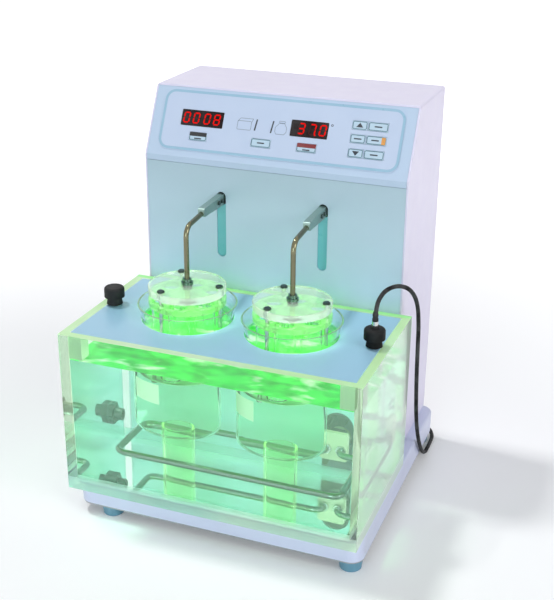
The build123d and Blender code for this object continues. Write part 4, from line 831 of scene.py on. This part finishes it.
# Bars in place of the words on the other keys: middle across and up the panel
BAR_WIDTH = 9
BAR_HEIGHT = 1.5
BAR_CORNER = 0.5
BAR_UNDER_STRIP = 23.9
BARS = {
    "key_time": (TIME_X, BAR_UNDER_STRIP),
    "key_probe": (PROBE_X, ROW_LOW),
    "key_temperature": (TEMPERATURE_X, BAR_UNDER_STRIP),
    "key_mode": (ARROW_X, ROW_MIDDLE),
    "key_start": (RIGHT_X, ROW_HIGH),
    "key_enter": (118.0, ROW_MIDDLE),
    "key_menu": (RIGHT_X, ROW_LOW),
}

# The outline printed round every key
KEY_LINE = 0.9
KEY_CORNER = 1.8
KEY_LINE_PRINT = KEY_PRINT - PROUD / 2


def print_on_key(key, kind, outline, material):
    """A printed patch on a key's cap, which moves with it."""
    print_patch(f"{key}_{kind}", outline, KEY_PRINT, material, body=f"{key}_cap")


def print_keys():
    """The strips, arrows, bars and outlines on the keys."""
    for key, (x, u, width, height, material) in STRIPS.items():
        print_on_key(key, "strip", moved(rounded(width, height, STRIP_CORNER), x, u), material)
    for key, way in ARROWS.items():
        arrow = [
            (-ARROW_HALF_WIDTH, -way * ARROW_FOOT), (ARROW_HALF_WIDTH, -way * ARROW_FOOT),
            (0, way * ARROW_TIP),
        ]
        print_on_key(key, "arrow", moved(arrow[::way], *KEYS[key][:2]), INK_DARK)
    for key, (x, u, width) in KEYS.items():
        print_ring(
            f"{key}_edge", (x, u), (width - KEY_LINE, KEY_HEIGHT - KEY_LINE), KEY_CORNER, KEY_LINE,
            KEY_LINE_PRINT, INK_TEAL, body=f"{key}_cap",
        )
    for key, (x, u) in BARS.items():
        print_on_key(key, "bar", moved(rounded(BAR_WIDTH, BAR_HEIGHT, BAR_CORNER), x, u), INK_DARK)


def fill_bath():
    """The water in the bath, just inside the tank's walls and floor, with a painted green glow."""
    low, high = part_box("bath_tank")
    wall = TANK_WALL + TANK_GAP
    floor = TANK_FLOOR + TANK_GAP
    water = liquid(
        "bath_water", linear(236, 252, 250), bend=WATER_BEND, density=1.2,
        glow=linear(158, 255, 202), strength=0.78,
        level=WATER_LEVEL, top_glow_colour=linear(70, 236, 92), top_strength=0.42,
    )
    box_mesh(
        "bath_water",
        (low.x / MM + wall, low.y / MM + wall, low.z / MM + floor),
        (high.x / MM - wall, high.y / MM - wall, WATER_LEVEL),
        water, "base",
    )


def fill_beakers():
    """The test liquid in the two beakers, with the round of their foot and a painted green glow."""
    test_liquid = liquid(
        "test_liquid", linear(240, 255, 240), bend=1.02, density=1.0,
        glow=linear(200, 255, 200), strength=0.1,
        level=LIQUID_LEVEL, top_glow_colour=linear(100, 244, 88), top_strength=0.5,
    )
    radius = BEAKER_RADIUS - BEAKER_WALL - BEAKER_GAP
    corner = BEAKER_CORNER - BEAKER_WALL
    foot = BEAKER_TOP - BEAKER_HEIGHT + BEAKER_FLOOR + BEAKER_GAP
    near_axis = 0.01
    corner_steps = 6
    turn_steps = 96
    profile = [(near_axis, foot)]
    for step in range(corner_steps + 1):
        angle = math.radians(-90 + 90 * step / corner_steps)
        across = radius - corner + corner * math.cos(angle)
        profile.append((across, foot + corner + corner * math.sin(angle)))
    profile += [(radius, LIQUID_LEVEL), (near_axis, LIQUID_LEVEL)]
    for side, x in SIDES:
        lathe(
            f"test_liquid_{side}", (x, BASKET_Y), profile, turn_steps, test_liquid,
            "lid", closed=False,
        )


def paint_lamp_reflections():
    """A painted reflection of a lamp, a pale matt patch on the wall of each beaker."""
    reflection_paint = moulded("glare_enamel", linear(238, 255, 226), roughness=0.6, grain=0.01)
    radius = BEAKER_RADIUS + PROUD
    low = 162.0
    high = 187.0
    facings = {"left": -118, "right": -134}
    half_turn = 22
    steps = 12
    for side, x in SIDES:
        points = []
        for step in range(steps + 1):
            angle = math.radians(facings[side] - half_turn + 2 * half_turn * step / steps)
            across = x + radius * math.cos(angle)
            along = BASKET_Y + radius * math.sin(angle)
            points += [Vector((across, along, height)) * MM for height in (low, high)]
        faces = [(2 * step, 2 * step + 2, 2 * step + 3, 2 * step + 1) for step in range(steps)]
        add_mesh(f"glare_spot_{side}", points, faces, reflection_paint, "lid", smooth=True)


def paint_slot_light():
    """Painted light of the lit tower inside: a teal strip behind each arm slot, hung from the arm,
    which hides the mechanism below it.
    """
    teal = moulded("painted_light_teal", linear(110, 194, 198), roughness=0.35, grain=0.01)
    half_width = 11.0
    behind = TOWER_FRONT + 2.6
    thickness = 1.2
    top = 351.2
    bottom = 276.0
    for side, x in SIDES:
        box_mesh(
            f"slot_painted_light_{side}",
            (x - half_width, behind, bottom),
            (x + half_width, behind + thickness, top),
            teal, "rack_carriage",
        )


# The probe cable's route from its ferrule to its plug, as the solids have it
CABLE_ROUTE = [
    (160.0, -82.3, 276.0),
    (160.0, -81.9, 289.0),
    (161.2, -75.0, 300.0),
    (165.0, -58.0, 305.0),
    (172.0, -30.5, 300.0),
    (178.5, -2.5, 285.5),
    (183.0, 16.5, 262.5),
    (184.0, 25.0, 230.0),
    (183.5, 30.0, 184.0),
    (183.5, 36.0, 136.0),
    (183.0, 48.0, 92.0),
    (182.0, 71.0, 52.0),
    (181.5, 98.0, 19.5),
    (181.2, 122.0, 3.4),
    (181.0, 148.0, 3.2),
    (180.0, 173.0, 3.0),
    (168.0, 194.0, 3.0),
    (148.0, 202.5, 3.2),
    (130.0, 198.0, 8.0),
    (120.0, 191.5, 24.0),
    (120.0, 191.0, 40.0),
    (120.0, 191.0, 57.9),
]
CABLE_DIAMETER = 5.0

# The boot where the cable leaves the ferrule, with a groove and a neck: radius and height
BOOT_PROFILE = [
    (2.6, 275.0), (3.5, 275.0), (3.4, 279.0), (3.0, 279.6), (3.0, 281.2),
    (3.3, 281.8), (3.2, 284.2), (2.8, 284.8), (2.8, 286.2), (2.6, 286.2),
]
BOOT_STEPS = 32


def lay_cable():
    """The probe's cable as one smooth spline in place of the solid one, with its boot."""
    rubber_black = MATERIALS["cable_rubber"]
    data = bpy.data.curves.new("cable", "CURVE")
    data.dimensions = "3D"
    data.resolution_u = 8
    data.bevel_depth = CABLE_DIAMETER / 2 * MM
    data.bevel_resolution = 4
    data.use_fill_caps = True
    spline = data.splines.new("NURBS")
    spline.points.add(len(CABLE_ROUTE) - 1)
    for point, place in zip(spline.points, CABLE_ROUTE):
        point.co = (*(Vector(place) * MM), 1.0)
    spline.order_u = 3
    spline.use_endpoint_u = True
    data.materials.append(rubber_black)
    cable = bpy.data.objects.new("cable", data)
    bpy.context.scene.collection.objects.link(cable)
    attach(cable, "lid")
    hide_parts("probe_cable")
    boot = lathe(
        "probe_boot", CABLE_ROUTE[0][:2], BOOT_PROFILE, BOOT_STEPS, rubber_black, "lid"
    )


# World and floor: light, and what rays to the camera, gloss and glass see of them
WHITE = (1.0, 1.0, 1.0, 1.0)
AMBIENT_COLOUR = (0.95, 0.97, 1.0, 1.0)
AMBIENT = 0.37
SEEN_WHITE = 1.0
FLOOR_WHITE = (0.9, 0.9, 0.91, 1.0)
FLOOR_DRIFT = (0.88, 0.88, 0.89, 1.0)
FLOOR_REACH = 8000.0
FLOOR_NEAR = 300.0
FLOOR_FAR = 1700.0
NEAR_LIFT = 0.12
FAR_LIFT = 0.62


def soft_light(name, place, target, size, power, colour=(1.0, 1.0, 1.0)):
    """A square softbox that faces a target."""
    data = bpy.data.lights.new(name, "AREA")
    data.size = size * MM
    data.energy = power
    data.color = colour
    light = bpy.data.objects.new(name, data)
    light.location = Vector(place) * MM
    light.rotation_euler = (Vector(target) - Vector(place)).to_track_quat("-Z", "Y").to_euler()
    bpy.context.scene.collection.objects.link(light)


def light_object():
    """A key lamp from above, a wide one from the right and a cool one from the front."""
    soft_light("key_light", place=(-1700, 200, 4900), target=(0, 0, 200), size=500, power=100)
    soft_light(
        "side_light", place=(4400, -1400, 2400), target=(0, 0, 250), size=2000, power=80,
        colour=(1.0, 0.97, 1.0),
    )
    soft_light(
        "front_light", place=(600, -4200, 1200), target=(0, 0, 250), size=2000, power=62,
        colour=(0.82, 0.96, 1.0),
    )


def seen_directly(nodes, links):
    """One for rays from the camera and for what gloss and glass show, and else nought."""
    path = nodes.new("ShaderNodeLightPath")
    total = path.outputs["Is Camera Ray"]
    for kind in ("Is Glossy Ray", "Is Transmission Ray"):
        larger = nodes.new("ShaderNodeMath")
        larger.operation = "MAXIMUM"
        links.new(total, larger.inputs[0])
        links.new(path.outputs[kind], larger.inputs[1])
        total = larger.outputs["Value"]
    return total


def light_world():
    """Soft studio light, with white where the camera, glass and metal see past the object."""
    world = bpy.data.worlds.new("world")
    bpy.context.scene.world = world
    world.use_nodes = True
    nodes = world.node_tree.nodes
    links = world.node_tree.links
    ambient = nodes["Background"]
    ambient.inputs["Color"].default_value = AMBIENT_COLOUR
    ambient.inputs["Strength"].default_value = AMBIENT
    seen = nodes.new("ShaderNodeBackground")
    seen.inputs["Color"].default_value = WHITE
    seen.inputs["Strength"].default_value = SEEN_WHITE
    mix = nodes.new("ShaderNodeMixShader")
    links.new(seen_directly(nodes, links), mix.inputs["Fac"])
    links.new(ambient.outputs["Background"], mix.inputs[1])
    links.new(seen.outputs["Background"], mix.inputs[2])
    links.new(mix.outputs["Shader"], nodes["World Output"].inputs["Surface"])


def lay_floor():
    """A wide white floor that keeps the object's shadow and looks white past it."""
    made = Material("floor_white", FLOOR_WHITE, roughness=0.9)
    made.vary_colour(made.noise(scale=3), FLOOR_DRIFT)
    made.set("Specular IOR Level", 0.0)
    made.set("Emission Color", WHITE)
    distance = made.nodes.new("ShaderNodeVectorMath")
    distance.operation = "LENGTH"
    made.links.new(made.place, distance.inputs[0])
    lift = made.ramp(
        distance.outputs["Value"], FLOOR_NEAR * MM, FLOOR_FAR * MM, NEAR_LIFT, FAR_LIFT,
        shape="SMOOTHSTEP",
    )
    seen = seen_directly(made.nodes, made.links)
    made.drive("Emission Strength", made.calculate("MULTIPLY", seen, lift))
    reach = FLOOR_REACH * MM
    corners = [(-reach, -reach, 0), (reach, -reach, 0), (reach, reach, 0), (-reach, reach, 0)]
    data = bpy.data.meshes.new("floor")
    data.from_pydata(corners, [], [(0, 1, 2, 3)])
    data.materials.append(made.material)
    floor = bpy.data.objects.new("floor", data)
    bpy.context.scene.collection.objects.link(floor)


def allow_clear_depth():
    """Enough bounces for light to cross the tank, the water, a beaker and the tubes in it."""
    cycles = bpy.context.scene.cycles
    cycles.max_bounces = 28
    cycles.transmission_bounces = 28
    cycles.glossy_bounces = 8
    cycles.diffuse_bounces = 4
    cycles.transparent_max_bounces = 32


make_camera()
dress_nodes()
lay_cable()
print_overlay()
print_displays()
print_keys()
fill_bath()
fill_beakers()
paint_lamp_reflections()
paint_slot_light()
light_world()
light_object()
lay_floor()
allow_clear_depth()
bpy.context.scene.view_settings.view_transform = "Standard"
